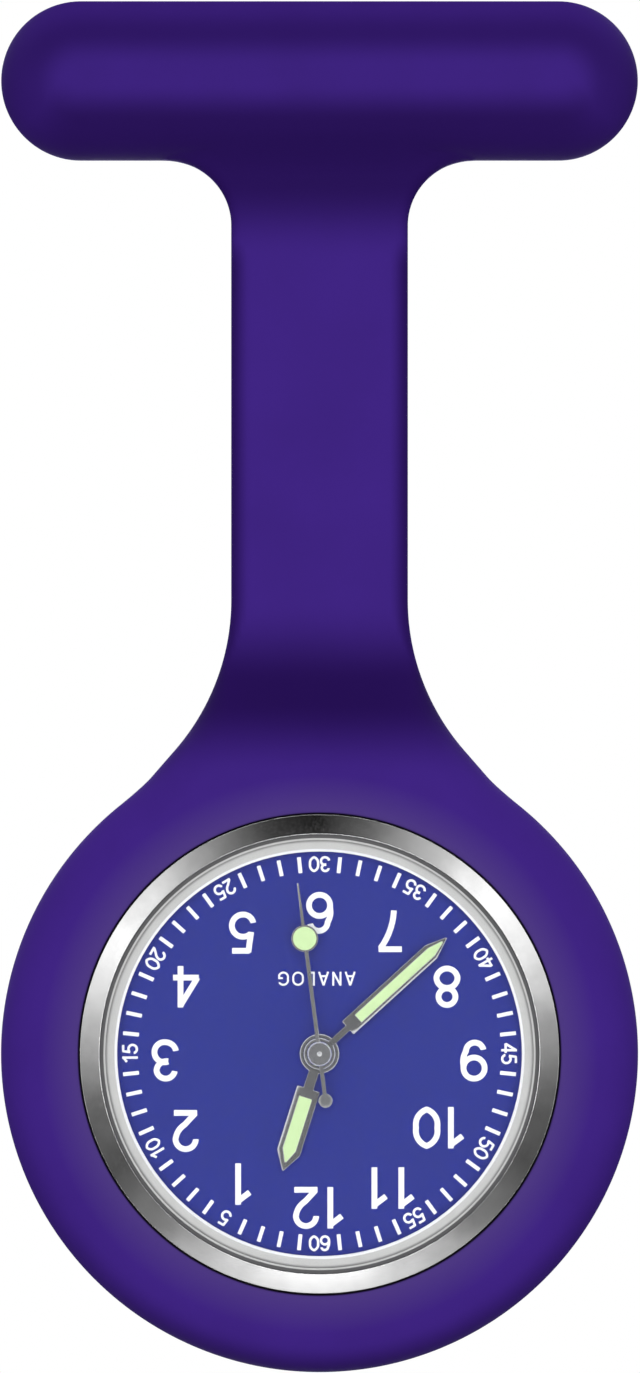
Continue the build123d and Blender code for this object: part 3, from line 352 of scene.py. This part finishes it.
def surface_net(distance, low, high, cell):
    """Vertices and quads of a surface where the distance is 0."""
    axes = [np.arange(low[i] - 2 * cell, high[i] + 3 * cell, cell) for i in range(3)]
    values = distance(*np.meshgrid(*axes, indexing="ij"))
    inside = values < 0
    cells = np.array(values.shape) - 1
    total = np.zeros((*cells, 3))
    count = np.zeros(cells, int)
    crossings = []
    for axis in range(3):
        a = np.moveaxis(values, axis, 0)
        low_side, high_side = a[:-1], a[1:]
        crossed = np.moveaxis((low_side < 0) != (high_side < 0), 0, axis)
        with np.errstate(divide="ignore", invalid="ignore"):
            share = np.moveaxis(low_side / (low_side - high_side), 0, axis)
        crossings.append(crossed)
        others = [i for i in range(3) if i != axis]
        for da in (0, 1):
            for db in (0, 1):
                window = [slice(None)] * 3
                window[others[0]] = slice(da, da + cells[others[0]])
                window[others[1]] = slice(db, db + cells[others[1]])
                hit = crossed[tuple(window)]
                count += hit
                total[..., axis] += np.where(hit, share[tuple(window)], 0)
                total[..., others[0]] += np.where(hit, da, 0)
                total[..., others[1]] += np.where(hit, db, 0)
    active = count > 0
    number = np.full(cells, -1)
    number[active] = np.arange(active.sum())
    corner = np.stack(np.nonzero(active), 1)
    start = np.array([axis_values[0] for axis_values in axes])
    points = start + (corner + total[active] / count[active][:, None]) * cell
    quads = []
    for axis in range(3):
        u, v = [(axis + 1) % 3, (axis + 2) % 3]
        place = np.stack(np.nonzero(crossings[axis]), 1)
        within_u = (place[:, u] > 0) & (place[:, u] < cells[u])
        within_v = (place[:, v] > 0) & (place[:, v] < cells[v])
        place = place[within_u & within_v]
        ring = []
        for du, dv in ((1, 1), (0, 1), (0, 0), (1, 0)):
            beside = place.copy()
            beside[:, u] -= du
            beside[:, v] -= dv
            ring.append(number[tuple(beside.T)])
        ring = np.stack(ring, 1)
        outward = inside[tuple(place.T)]
        ring[~outward] = ring[~outward][:, ::-1]
        quads.append(ring)
    return points, np.vstack(quads)


# ================================================================ mesh helpers
def new_piece(name, points, faces, material):
    """A smooth mesh object from points in metres."""
    mesh = bpy.data.meshes.new(name)
    mesh.from_pydata([tuple(p) for p in points], [], [tuple(f) for f in faces])
    mesh.materials.append(material)
    mesh.shade_smooth()
    piece = bpy.data.objects.new(name, mesh)
    bpy.context.scene.collection.objects.link(piece)
    return piece


def turned(name, profile, material, centre_z, capped=False, segments=288):
    """A profile of (depth, radius) points in mm, turned about the watch's axis.

    The profile closes on itself, or both of its ends are capped with flat discs.
    """
    rows = len(profile)
    points = []
    for step in range(segments):
        turn = 2 * math.pi * step / segments
        for depth, radius in profile:
            place = (radius * math.sin(turn), depth, centre_z - radius * math.cos(turn))
            points.append([value * MM for value in place])
    faces = []
    for step in range(segments):
        here = step * rows
        there = (step + 1) % segments * rows
        for row in range(rows - 1 if capped else rows):
            following = (row + 1) % rows
            faces.append((here + row, there + row, there + following, here + following))
    if capped:
        faces.append([step * rows for step in reversed(range(segments))])
        faces.append([step * rows + rows - 1 for step in range(segments)])
    return new_piece(name, points, faces, material)


def rounded_profile(corners, steps=5):
    """A profile whose corners (depth, radius, rounding) are replaced by short arcs."""
    profile = []
    count = len(corners)
    for i, (depth, radius, rounding) in enumerate(corners):
        here = np.array((depth, radius))
        before = np.array(corners[i - 1][:2]) - here
        after = np.array(corners[(i + 1) % count][:2]) - here
        start = here + before / np.linalg.norm(before) * rounding
        end = here + after / np.linalg.norm(after) * rounding
        for step in range(steps + 1):
            t = step / steps
            profile.append(tuple((1 - t) ** 2 * start + 2 * t * (1 - t) * here + t * t * end))
    return profile


# ================================================================ materials
RING_SCALE = 0.3                 # the wave texture's scale for rings about one metre apart
WIRE_SCALE = 4500


def linear(red, green, blue):
    """A screen colour from 0 to 255 as linear light."""
    screen = [value / 255 for value in (red, green, blue)]
    light = [v / 12.92 if v <= 0.04045 else ((v + 0.055) / 1.055) ** 2.4 for v in screen]
    return (*light, 1.0)


class Finish:
    """A Principled material that is built up from procedural textures in the object's own metres."""

    def __init__(self, name, **sockets):
        self.material = bpy.data.materials.new(name)
        self.material.use_nodes = True
        self.nodes = self.material.node_tree.nodes
        self.links = self.material.node_tree.links
        self.shader = self.nodes["Principled BSDF"]
        self.place = self.nodes.new("ShaderNodeTexCoord").outputs["Object"]
        for socket, value in sockets.items():
            self.shader.inputs[socket.replace("_", " ")].default_value = value

    def noise(self, size, detail=3.0, stretch=None):
        """Noise whose features are about size metres wide."""
        texture = self.nodes.new("ShaderNodeTexNoise")
        texture.inputs["Scale"].default_value = 1 / size
        texture.inputs["Detail"].default_value = detail
        self.links.new(self.stretched(stretch), texture.inputs["Vector"])
        return texture.outputs["Fac"]

    def stretched(self, stretch):
        """The object's coordinates, drawn out along an axis where asked."""
        if stretch is None:
            return self.place
        mapping = self.nodes.new("ShaderNodeMapping")
        mapping.inputs["Scale"].default_value = stretch
        self.links.new(self.place, mapping.inputs["Vector"])
        return mapping.outputs["Vector"]

    def attribute(self, name):
        """A value stored at the piece's points."""
        node = self.nodes.new("ShaderNodeAttribute")
        node.attribute_name = name
        return node.outputs["Fac"]

    def turning(self, pitch, centre, distortion=1.5):
        """Concentric turning marks about the watch's axis."""
        mapping = self.nodes.new("ShaderNodeMapping")
        mapping.inputs["Location"].default_value = -Vector(centre)
        self.links.new(self.place, mapping.inputs["Vector"])
        wave = self.nodes.new("ShaderNodeTexWave")
        wave.wave_type = "RINGS"
        wave.rings_direction = "Y"
        wave.inputs["Scale"].default_value = RING_SCALE / pitch
        wave.inputs["Distortion"].default_value = distortion
        wave.inputs["Detail"].default_value = 2.0
        self.links.new(mapping.outputs["Vector"], wave.inputs["Vector"])
        return wave.outputs["Fac"]

    def spread(self, value, low, high, start=0.3, end=0.7):
        """A texture's middle range mapped to low..high."""
        node = self.nodes.new("ShaderNodeMapRange")
        node.inputs["From Min"].default_value = start
        node.inputs["From Max"].default_value = end
        node.inputs["To Min"].default_value = low
        node.inputs["To Max"].default_value = high
        self.links.new(value, node.inputs["Value"])
        return node.outputs["Result"]

    def tint(self, value, first, second, start=0.3, end=0.7):
        """A texture turned into a blend of two colours."""
        ramp = self.nodes.new("ShaderNodeValToRGB")
        ramp.color_ramp.elements[0].position = start
        ramp.color_ramp.elements[0].color = first
        ramp.color_ramp.elements[1].position = end
        ramp.color_ramp.elements[1].color = second
        self.links.new(value, ramp.inputs["Fac"])
        return ramp.outputs["Color"]

    def mix(self, factor, first, second):
        """Two colours mixed by a factor."""
        node = self.nodes.new("ShaderNodeMix")
        node.data_type = "RGBA"
        self.links.new(factor, node.inputs["Factor"])
        self.feed(node.inputs["A"], first)
        self.feed(node.inputs["B"], second)
        return node.outputs["Result"]

    def feed(self, socket, value):
        """A colour or another node's output put into a socket."""
        if isinstance(value, tuple):
            socket.default_value = value
        else:
            self.links.new(value, socket)

    def colour(self, value):
        self.links.new(value, self.shader.inputs["Base Color"])

    def gloss(self, value):
        self.links.new(value, self.shader.inputs["Roughness"])

    def relief(self, value, height):
        """Bump of the given height in metres."""
        bump = self.nodes.new("ShaderNodeBump")
        bump.inputs["Distance"].default_value = height
        self.links.new(value, bump.inputs["Height"])
        self.links.new(bump.outputs["Normal"], self.shader.inputs["Normal"])


def shade(colour, factor):
    """A colour made lighter or darker."""
    return (*[min(value * factor, 1.0) for value in colour[:3]], 1.0)


def mottled(name, colour, vary=0.12, size=0.0015, rough=(0.4, 0.5), grain=0.0001, height=2e-6, **sockets):
    """A plain finish: slightly uneven colour, uneven gloss and a fine grain."""
    made = Finish(name, **sockets)
    made.colour(made.tint(made.noise(size), shade(colour, 1 - vary), shade(colour, 1 + vary)))
    made.gloss(made.spread(made.noise(size / 2), *rough))
    made.relief(made.noise(grain, 2.0), height)
    return made


def silicone_finish():
    """Satin purple silicone: faint clouding, painted sheen and shade, a painted shadow line at the bezel
    and a moulded grain.
    """
    main = linear(64, 36, 132)
    # painted sheen: a paler, greyer purple round the bezel
    painted_sheen = linear(80, 60, 132)
    # painted shade: the darker purple that the bands turn towards
    painted_shade_colour = linear(36, 14, 80)
    # painted shadow: a near-black line on the lip against the bezel
    crevice_shadow_colour = linear(6, 4, 10)
    made = Finish("silicone_purple", Specular_IOR_Level=0.015, IOR=1.41)
    clouds = made.tint(made.noise(0.006, 4.0), shade(main, 0.95), shade(main, 1.05))
    radius = made.attribute("radius")
    sheen_share = made.spread(radius, 1.0, 0.0, front_opening, painted_sheen_end)
    toned = made.mix(sheen_share, clouds, painted_sheen)
    toned = made.mix(made.attribute("painted_shade"), toned, painted_shade_colour)
    # the painted shadow line, just outside the bezel
    crevice_shadow_share = made.spread(radius, 1.0, 0.0, front_opening + crevice, front_opening + 2 * crevice)
    made.colour(made.mix(crevice_shadow_share, toned, crevice_shadow_colour))
    made.gloss(made.spread(made.noise(0.003, 5.0), 0.46, 0.58))
    made.relief(made.noise(0.00012, 3.0), 3e-6)
    return made.material


def steel_finish(name, level, rough, brushing, height, **sockets):
    """Bright metal with fine marks in one direction."""
    made = Finish(name, Metallic=1.0, **sockets)
    streaks = made.noise(0.00015, 3.0, brushing)
    colour = linear(level, level, level)
    made.colour(made.tint(made.noise(0.002), shade(colour, 0.9), shade(colour, 1.08)))
    made.gloss(made.spread(streaks, *rough))
    made.relief(streaks, height)
    return made.material


def turned_finish(name, colour, rough, pitch, height, **sockets):
    """A finish with concentric turning marks round the watch's axis."""
    made = Finish(name, **sockets)
    rings = made.turning(pitch, (0, 0, watch_z * MM))
    made.colour(made.tint(made.noise(0.0015), shade(colour, 0.96), shade(colour, 1.04)))
    made.gloss(made.spread(rings, *rough, 0.0, 1.0))
    made.relief(rings, height)
    return made.material


def glass_finish():
    """Clear mineral glass with faint wiping marks; lamps shine straight through it."""
    made = Finish("mineral_glass", Transmission_Weight=1.0, IOR=1.46, Base_Color=(0.875, 0.885, 0.885, 1))
    made.gloss(made.spread(made.noise(0.004, 5.0), 0.0, 0.03, 0.5, 0.8))
    clear = made.nodes.new("ShaderNodeBsdfTransparent")
    path = made.nodes.new("ShaderNodeLightPath")
    share = made.nodes.new("ShaderNodeMixShader")
    made.links.new(path.outputs["Is Shadow Ray"], share.inputs["Fac"])
    made.links.new(made.shader.outputs["BSDF"], share.inputs[1])
    made.links.new(clear.outputs["BSDF"], share.inputs[2])
    made.links.new(share.outputs["Shader"], made.nodes["Material Output"].inputs["Surface"])
    return made.material


def flange_finish():
    """Pale grey lacquer with a white chamfer round the dial and a painted shadow on its outer step."""
    chamfer = 0.16
    blur = 0.01
    painted_shadow_start = 13.26
    painted_shadow_end = 13.46
    made = Finish("flange_lacquer", Specular_IOR_Level=0.1)
    grey = made.tint(made.noise(0.001), linear(188, 187, 186), linear(193, 192, 191))
    mapping = made.nodes.new("ShaderNodeMapping")
    mapping.inputs["Location"].default_value = (0, 0, -watch_z * MM)
    mapping.inputs["Scale"].default_value = (1, 0, 1)
    made.links.new(made.place, mapping.inputs["Vector"])
    length = made.nodes.new("ShaderNodeVectorMath")
    length.operation = "LENGTH"
    made.links.new(mapping.outputs["Vector"], length.inputs[0])
    edge = dial_opening + chamfer
    grade = made.spread(length.outputs["Value"], 1.0, 0.0, (edge - blur) * MM, (edge + blur) * MM)
    # painted shadow: the outer part is darkened where the bezel would shade it
    step = made.spread(length.outputs["Value"], 0.0, 1.0, painted_shadow_start * MM, painted_shadow_end * MM)
    toned = made.mix(step, grey, linear(84, 84, 85))
    made.colour(made.mix(grade, toned, linear(252, 252, 252)))
    made.gloss(made.spread(made.noise(0.0008), 0.3, 0.4))
    made.relief(made.noise(0.0001, 2.0), 3e-7)
    return made.material


def hand_finish(name, level):
    """Grey plated hands with a painted highlight on their bevelled edges."""
    rim_facing = 0.93            # how squarely a surface faces the front, as a cosine
    face_facing = 0.99
    made = Finish(name, Metallic=0.9)
    plating = linear(level, level, level + 3)
    face = made.tint(made.noise(0.0006), shade(plating, 0.9), shade(plating, 1.1))
    parts = made.nodes.new("ShaderNodeSeparateXYZ")
    made.links.new(made.nodes.new("ShaderNodeTexCoord").outputs["Normal"], parts.inputs["Vector"])
    facing = made.nodes.new("ShaderNodeMath")
    facing.operation = "ABSOLUTE"
    made.links.new(parts.outputs["Y"], facing.inputs[0])
    # painted highlight: faces that turn from the front take a near-white colour
    edge = made.spread(facing.outputs["Value"], 1.0, 0.0, rim_facing, face_facing)
    made.colour(made.mix(edge, face, linear(240, 240, 242)))
    made.gloss(made.spread(made.noise(0.0004), 0.1, 0.16))
    made.relief(made.noise(0.0001, 2.0), 5e-8)
    return made.material


def coil_finish():
    """Enamelled copper wire, wound round an axis along X."""
    made = Finish("copper_winding", Metallic=0.9)
    wave = made.nodes.new("ShaderNodeTexWave")
    wave.bands_direction = "X"
    wave.inputs["Scale"].default_value = WIRE_SCALE
    made.links.new(made.place, wave.inputs["Vector"])
    copper = linear(196, 110, 62)
    made.colour(made.tint(wave.outputs["Fac"], shade(copper, 0.55), copper))
    made.gloss(made.spread(made.noise(0.0008), 0.25, 0.4))
    made.relief(wave.outputs["Fac"], 2e-5)
    return made.material


FINISHES = {
    "silicone": silicone_finish(),
    "pin_steel": steel_finish("pin_steel", 205, (0.16, 0.34), (1, 12, 12), 1.5e-6),
    "bezel_steel": steel_finish("polished_steel", 232, (0.07, 0.16), (1, 1, 1), 1e-7),
    "case_steel": turned_finish("brushed_case_steel", linear(196, 197, 199), (0.22, 0.38), 0.0001, 1.5e-6,
                                Metallic=1.0),
    "glass": glass_finish(),
    "gasket_nylon": mottled("gasket_nylon", linear(74, 74, 76)).material,
    "seal_rubber": mottled("seal_rubber", linear(28, 28, 30), rough=(0.5, 0.7)).material,
    "dial_blue": mottled("dial_enamel", linear(24, 37, 132), 0.035, 0.0008, (0.42, 0.5), 0.00005, 6e-7,
                          Specular_IOR_Level=0.05).material,
    "print_white": mottled("white_ink", linear(244, 245, 248), 0.02, 0.0005, (0.45, 0.6), 0.00006,
                           1e-6).material,
    "flange_grey": flange_finish(),
    "hand_metal": hand_finish("hand_plating", 105),
    "lume_green": mottled("luminous_paint", linear(198, 226, 166), 0.03, 0.0003, (0.55, 0.75), 0.00004,
                          1e-6).material,
    "movement_plastic": mottled("movement_plastic", linear(232, 228, 214), 0.03, 0.002).material,
    "plate_steel": steel_finish("plate_steel", 188, (0.25, 0.4), (1, 1, 8), 1e-6),
    "gear_brass": mottled("gear_brass", linear(214, 172, 92), 0.06, 0.0006, (0.22, 0.34), 0.00008, 1e-6,
                          Metallic=1.0).material,
    "gear_plastic": mottled("gear_plastic", linear(236, 236, 230), 0.03, 0.001).material,
    "stator_iron": steel_finish("stator_iron", 150, (0.3, 0.45), (1, 1, 6), 1e-6),
    "coil_copper": coil_finish(),
    "rotor_magnet": mottled("rotor_magnet", linear(70, 70, 74), 0.08, 0.0005, (0.3, 0.45),
                            Metallic=0.8).material,
    "board_green": mottled("board_green", linear(28, 92, 54), 0.1, 0.0008, (0.3, 0.45)).material,
    "chip_epoxy": mottled("chip_epoxy", linear(24, 24, 26), 0.1, 0.0005, (0.5, 0.65)).material,
    "can_steel": steel_finish("can_steel", 200, (0.18, 0.3), (12, 1, 1), 5e-7),
    "battery_steel": turned_finish("battery_steel", linear(205, 206, 208), (0.2, 0.34), 0.0002, 8e-7,
                                   Metallic=1.0),
    "spring_steel": steel_finish("spring_steel", 192, (0.2, 0.34), (6, 1, 1), 8e-7),
    "screw_steel": steel_finish("screw_steel", 206, (0.15, 0.3), (1, 1, 1), 4e-7),
}

SLOT_OF = {part["node"]: part["material_slot"] for part in frame["record"]["subparts"]}
PALER_HAND = hand_finish("pale_hand_plating", 122)


# ================================================================ the silicone holder
def store(piece, name, values):
    """A value kept at each of the piece's points, which stays with them when the piece bends."""
    attribute = piece.data.attributes.new(name, "FLOAT", "POINT")
    attribute.data.foreach_set("value", values.astype(np.float32))


def make_holder():
    """The one-piece moulding."""
    low = np.minimum(ring_low, bar_low)
    high = np.maximum(ring_high, bar_high)
    points, quads = surface_net(holder_distance, low, high, holder_cell)
    points = settle(points, holder_distance, 4)
    points = relax(points, quads, holder_distance, 2)
    holder = new_piece("silicone_holder", points * MM, quads.tolist(), FINISHES["silicone"])
    # painted shade in the colour, kept at the points
    store(holder, "painted_shade", painted_shade_depth(points))
    behind = np.where(points[:, 1] > middle_y, front_opening - back_opening, 0)
    store(holder, "radius", np.hypot(points[:, 0], points[:, 2] - watch_z) + behind)
    holder.visible_glossy = False
    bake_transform(holder)
    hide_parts("silicone_hanger", "silicone_ring")


# ================================================================ bezel and glass
def make_bezel():
    """The polished ring: a wide cone and a narrow inner bevel that covers the gasket."""
    front = float(bezel_low[1])
    back = float(bezel_high[1])
    inner = float(gasket_high[0])
    hidden = inner + 0.03        # the back part, clear of the gasket
    covering = inner - 0.02
    cone_depth = 0.42
    bevel_width = 0.06
    bevel_depth = 0.18
    lip_depth = 0.28
    blunt = 0.02
    crisp = 0.015
    corners = [
        (back, hidden, blunt),
        (back, bezel_radius, blunt),
        (front + cone_depth, bezel_radius, crisp),
        (front, covering + bevel_width, crisp),
        (front + bevel_depth, covering, blunt),
        (front + lip_depth, covering, blunt),
        (front + lip_depth, hidden, blunt),
    ]
    bezel = turned("polished_bezel", rounded_profile(corners), FINISHES["bezel_steel"], watch_z)
    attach(bezel, "watch")
    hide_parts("bezel")


def make_glass():
    """The flat glass with its small bevel."""
    back_bevel = 0.03
    front_bevel = 0.12
    front = float(glass_low[1])
    back = float(glass_high[1])
    profile = [(back, glass_radius - back_bevel), (back - back_bevel, glass_radius)]
    profile += [(front + front_bevel, glass_radius), (front, glass_radius - front_bevel)]
    glass = turned("watch_glass", profile, FINISHES["glass"], watch_z, capped=True)
    glass.data.shade_flat()
    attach(glass, "watch")
    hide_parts("crystal")


# ================================================================ carried-over parts
# width of the softened edges in mm
SOFTENED = {
    "hour_hand": 0.07, "minute_hand": 0.065, "second_hand": 0.04, "pin_plate": 0.08, "pin_rivet": 0.06,
    "catch_roller": 0.06, "case_back": 0.05, "mid_case": 0.05, "crown": 0.05, "dial": 0.03,
}
SMOOTH_ANGLE = math.radians(32)
WELD_GAP = 1e-6                  # the carried-over meshes are split along their sharp edges


def dress(name, node):
    """A CAD node's finish, smooth shading and, where it shows, softened edges."""
    node.data.materials.clear()
    node.data.materials.append(PALER_HAND if name == "second_hand" else FINISHES[SLOT_OF[name]])
    node.data.shade_smooth()
    node.data.set_sharp_from_angle(angle=SMOOTH_ANGLE)
    if name in SOFTENED:
        weld = node.modifiers.new("welded", "WELD")
        weld.merge_threshold = WELD_GAP
        bevel = node.modifiers.new("softened", "BEVEL")
        bevel.width = SOFTENED[name] * MM
        bevel.segments = 2
        bevel.limit_method = "ANGLE"
        bevel.angle_limit = SMOOTH_ANGLE
        bevel.harden_normals = True


def dress_all():
    for name, node in sorted(frame["nodes"].items()):
        if not node.hide_render:
            dress(name, node)


# ================================================================ stage, light and camera
FLOOR_DROP = 0.024
FLOOR_RADIUS = 0.5
FLOOR_FADE = (0.015, 0.07)       # solid up to the first radius, gone at the second
FLOOR_DARK = (0.78, 0.78, 0.78, 1)
FLOOR_LIGHT = (0.82, 0.82, 0.82, 1)
DOME_RADIUS = 2.4                # takes in the camera below; from further out only the dome is seen
LENS = 800
SENSOR = 36
MARGIN = 1.0017                  # the frame's height over the object's
CAMERA_X = 0.00003
CAMERA_FOCUS_Y = -0.004          # the plane that fills the frame
FRONT_DISTANCE = 0.7
FRONT_BRIGHTNESS = 5.6
TOP_DISTANCE = 0.45
TOP_BRIGHTNESS = 5.4
# name, azimuth, elevation and size of the lamps round the camera
FRONT_LAMPS = [
    ("front_left", -19, 2, (0.2, 0.2)),
    ("front_right", 19, 2, (0.2, 0.2)),
    ("front_high", 0, 17, (0.26, 0.14)),
    ("front_low", 0, -17, (0.26, 0.14)),
]


def make_floor():
    """A pale floor below the hanging watch, fading out into the white surroundings."""
    height = ring_low[2] * MM - FLOOR_DROP
    place = (0, 0, height)
    bpy.ops.mesh.primitive_circle_add(vertices=96, radius=FLOOR_RADIUS, fill_type="NGON", location=place)
    floor = bpy.context.object
    floor.name = "floor"
    made = Finish("pale_floor", Roughness=0.6)
    made.colour(made.tint(made.noise(0.02), FLOOR_DARK, FLOOR_LIGHT))
    length = made.nodes.new("ShaderNodeVectorMath")
    length.operation = "LENGTH"
    made.links.new(made.place, length.inputs[0])
    fading = made.spread(length.outputs["Value"], 1.0, 0.0, *FLOOR_FADE)
    made.links.new(fading, made.shader.inputs["Alpha"])
    floor.data.materials.append(made.material)


def make_surroundings():
    """A white dome, seen directly and through the glass, that sheds no light on the object."""
    bpy.ops.mesh.primitive_uv_sphere_add(segments=48, ring_count=24, radius=DOME_RADIUS)
    dome = bpy.context.object
    dome.name = "white_dome"
    made = Finish("white_paper", Base_Color=(0, 0, 0, 1), Roughness=1.0, Specular_IOR_Level=0.0)
    made.shader.inputs["Emission Color"].default_value = (1, 1, 1, 1)
    made.shader.inputs["Emission Strength"].default_value = 1.0
    dome.data.materials.append(made.material)
    dome.visible_diffuse = False
    dome.visible_glossy = False
    dome.visible_shadow = False


def make_world():
    """A studio of uneven grey panels round the viewing axis, dark above and behind the camera."""
    world = bpy.data.worlds.new("studio")
    bpy.context.scene.world = world
    world.use_nodes = True
    nodes = world.node_tree.nodes
    links = world.node_tree.links

    def math_node(operation, *values):
        node = nodes.new("ShaderNodeMath")
        node.operation = operation
        for socket, value in zip(node.inputs, values):
            if isinstance(value, (int, float)):
                socket.default_value = value
            else:
                links.new(value, socket)
        return node.outputs["Value"]

    place = nodes.new("ShaderNodeTexCoord")
    parts = nodes.new("ShaderNodeSeparateXYZ")
    links.new(place.outputs["Generated"], parts.inputs["Vector"])
    around = math_node("ARCTAN2", parts.outputs["X"], parts.outputs["Z"])
    turn = math_node("MULTIPLY_ADD", around, 0.5 / math.pi, 0.5)
    ramp = nodes.new("ShaderNodeValToRGB")
    links.new(turn, ramp.inputs["Fac"])
    while len(ramp.color_ramp.elements) < len(PANELS):
        ramp.color_ramp.elements.new(0.5)
    for element, (angle, level) in zip(ramp.color_ramp.elements, PANELS):
        element.position = angle / 360
        shown = level / STUDIO_PEAK
        element.color = (shown, shown, shown, 1)
    away = nodes.new("ShaderNodeMapRange")
    away.inputs["From Min"].default_value = STUDIO_DARK_TO
    away.inputs["From Max"].default_value = STUDIO_FULL_FROM
    away.inputs["To Max"].default_value = STUDIO_PEAK
    links.new(parts.outputs["Y"], away.inputs["Value"])
    links.new(ramp.outputs["Color"], nodes["Background"].inputs["Color"])
    links.new(away.outputs["Result"], nodes["Background"].inputs["Strength"])


# Brightness of the studio by angle in degrees, from straight down through the left, top and right.
# These levels were fitted to greys measured round the bezel in the photograph.
PANELS = [
    (0, 1.8), (20, 0.85), (40, 0.26), (60, 0.085), (78, 0.16), (100, 0.68), (118, 1.35),
    (132, 1.0), (152, 0.28), (166, 0.05), (180, 0.008), (194, 0.15), (212, 0.7), (226, 1.3),
    (244, 1.12), (262, 0.42), (280, 0.13), (298, 0.085), (318, 0.23), (340, 0.85), (360, 1.8),
]
STUDIO_PEAK = 1.8
STUDIO_DARK_TO = -0.93           # the direction's Y: dark behind the camera up to here
STUDIO_FULL_FROM = -0.84


def softbox(name, azimuth, elevation, distance, size, brightness, target):
    """A rectangular area light; azimuth 0 stands in front of the watch and 90 to its right."""
    a, e = math.radians(azimuth), math.radians(elevation)
    away = Vector((math.sin(a) * math.cos(e), -math.cos(a) * math.cos(e), math.sin(e)))
    light = bpy.data.lights.new(name, "AREA")
    light.shape = "RECTANGLE"
    light.size, light.size_y = size
    light.energy = brightness * math.pi * size[0] * size[1]
    lamp = bpy.data.objects.new(name, light)
    lamp.location = target + away * distance
    lamp.rotation_euler = away.to_track_quat("Z", "Y").to_euler()
    lamp.visible_camera = False
    lamp.visible_transmission = False
    bpy.context.scene.collection.objects.link(lamp)
    return lamp


def make_lights():
    target = Vector((0, 0, watch_z * MM))
    for name, azimuth, elevation, size in FRONT_LAMPS:
        softbox(name, azimuth, elevation, FRONT_DISTANCE, size, FRONT_BRIGHTNESS, target)
    top = softbox("top", 180, 76, TOP_DISTANCE, (0.3, 0.16), TOP_BRIGHTNESS, target)
    top.visible_glossy = False


def make_camera():
    """Straight from the front with a long lens; the frame is 640 x 1373."""
    data = bpy.data.cameras.new("camera")
    data.lens = LENS
    data.sensor_width = SENSOR
    camera = bpy.data.objects.new("camera", data)
    bpy.context.scene.collection.objects.link(camera)
    height = (cad_high.z - cad_low.z) * MARGIN
    distance = data.lens * height / data.sensor_width
    camera.location = (CAMERA_X, CAMERA_FOCUS_Y - distance, (cad_high.z + cad_low.z) / 2)
    camera.rotation_euler = (math.pi / 2, 0, 0)
    bpy.context.scene.camera = camera


make_camera()
make_holder()
make_bezel()
make_glass()
dress_all()
make_floor()
make_surroundings()
make_world()
make_lights()
bpy.context.scene.view_settings.view_transform = "Standard"
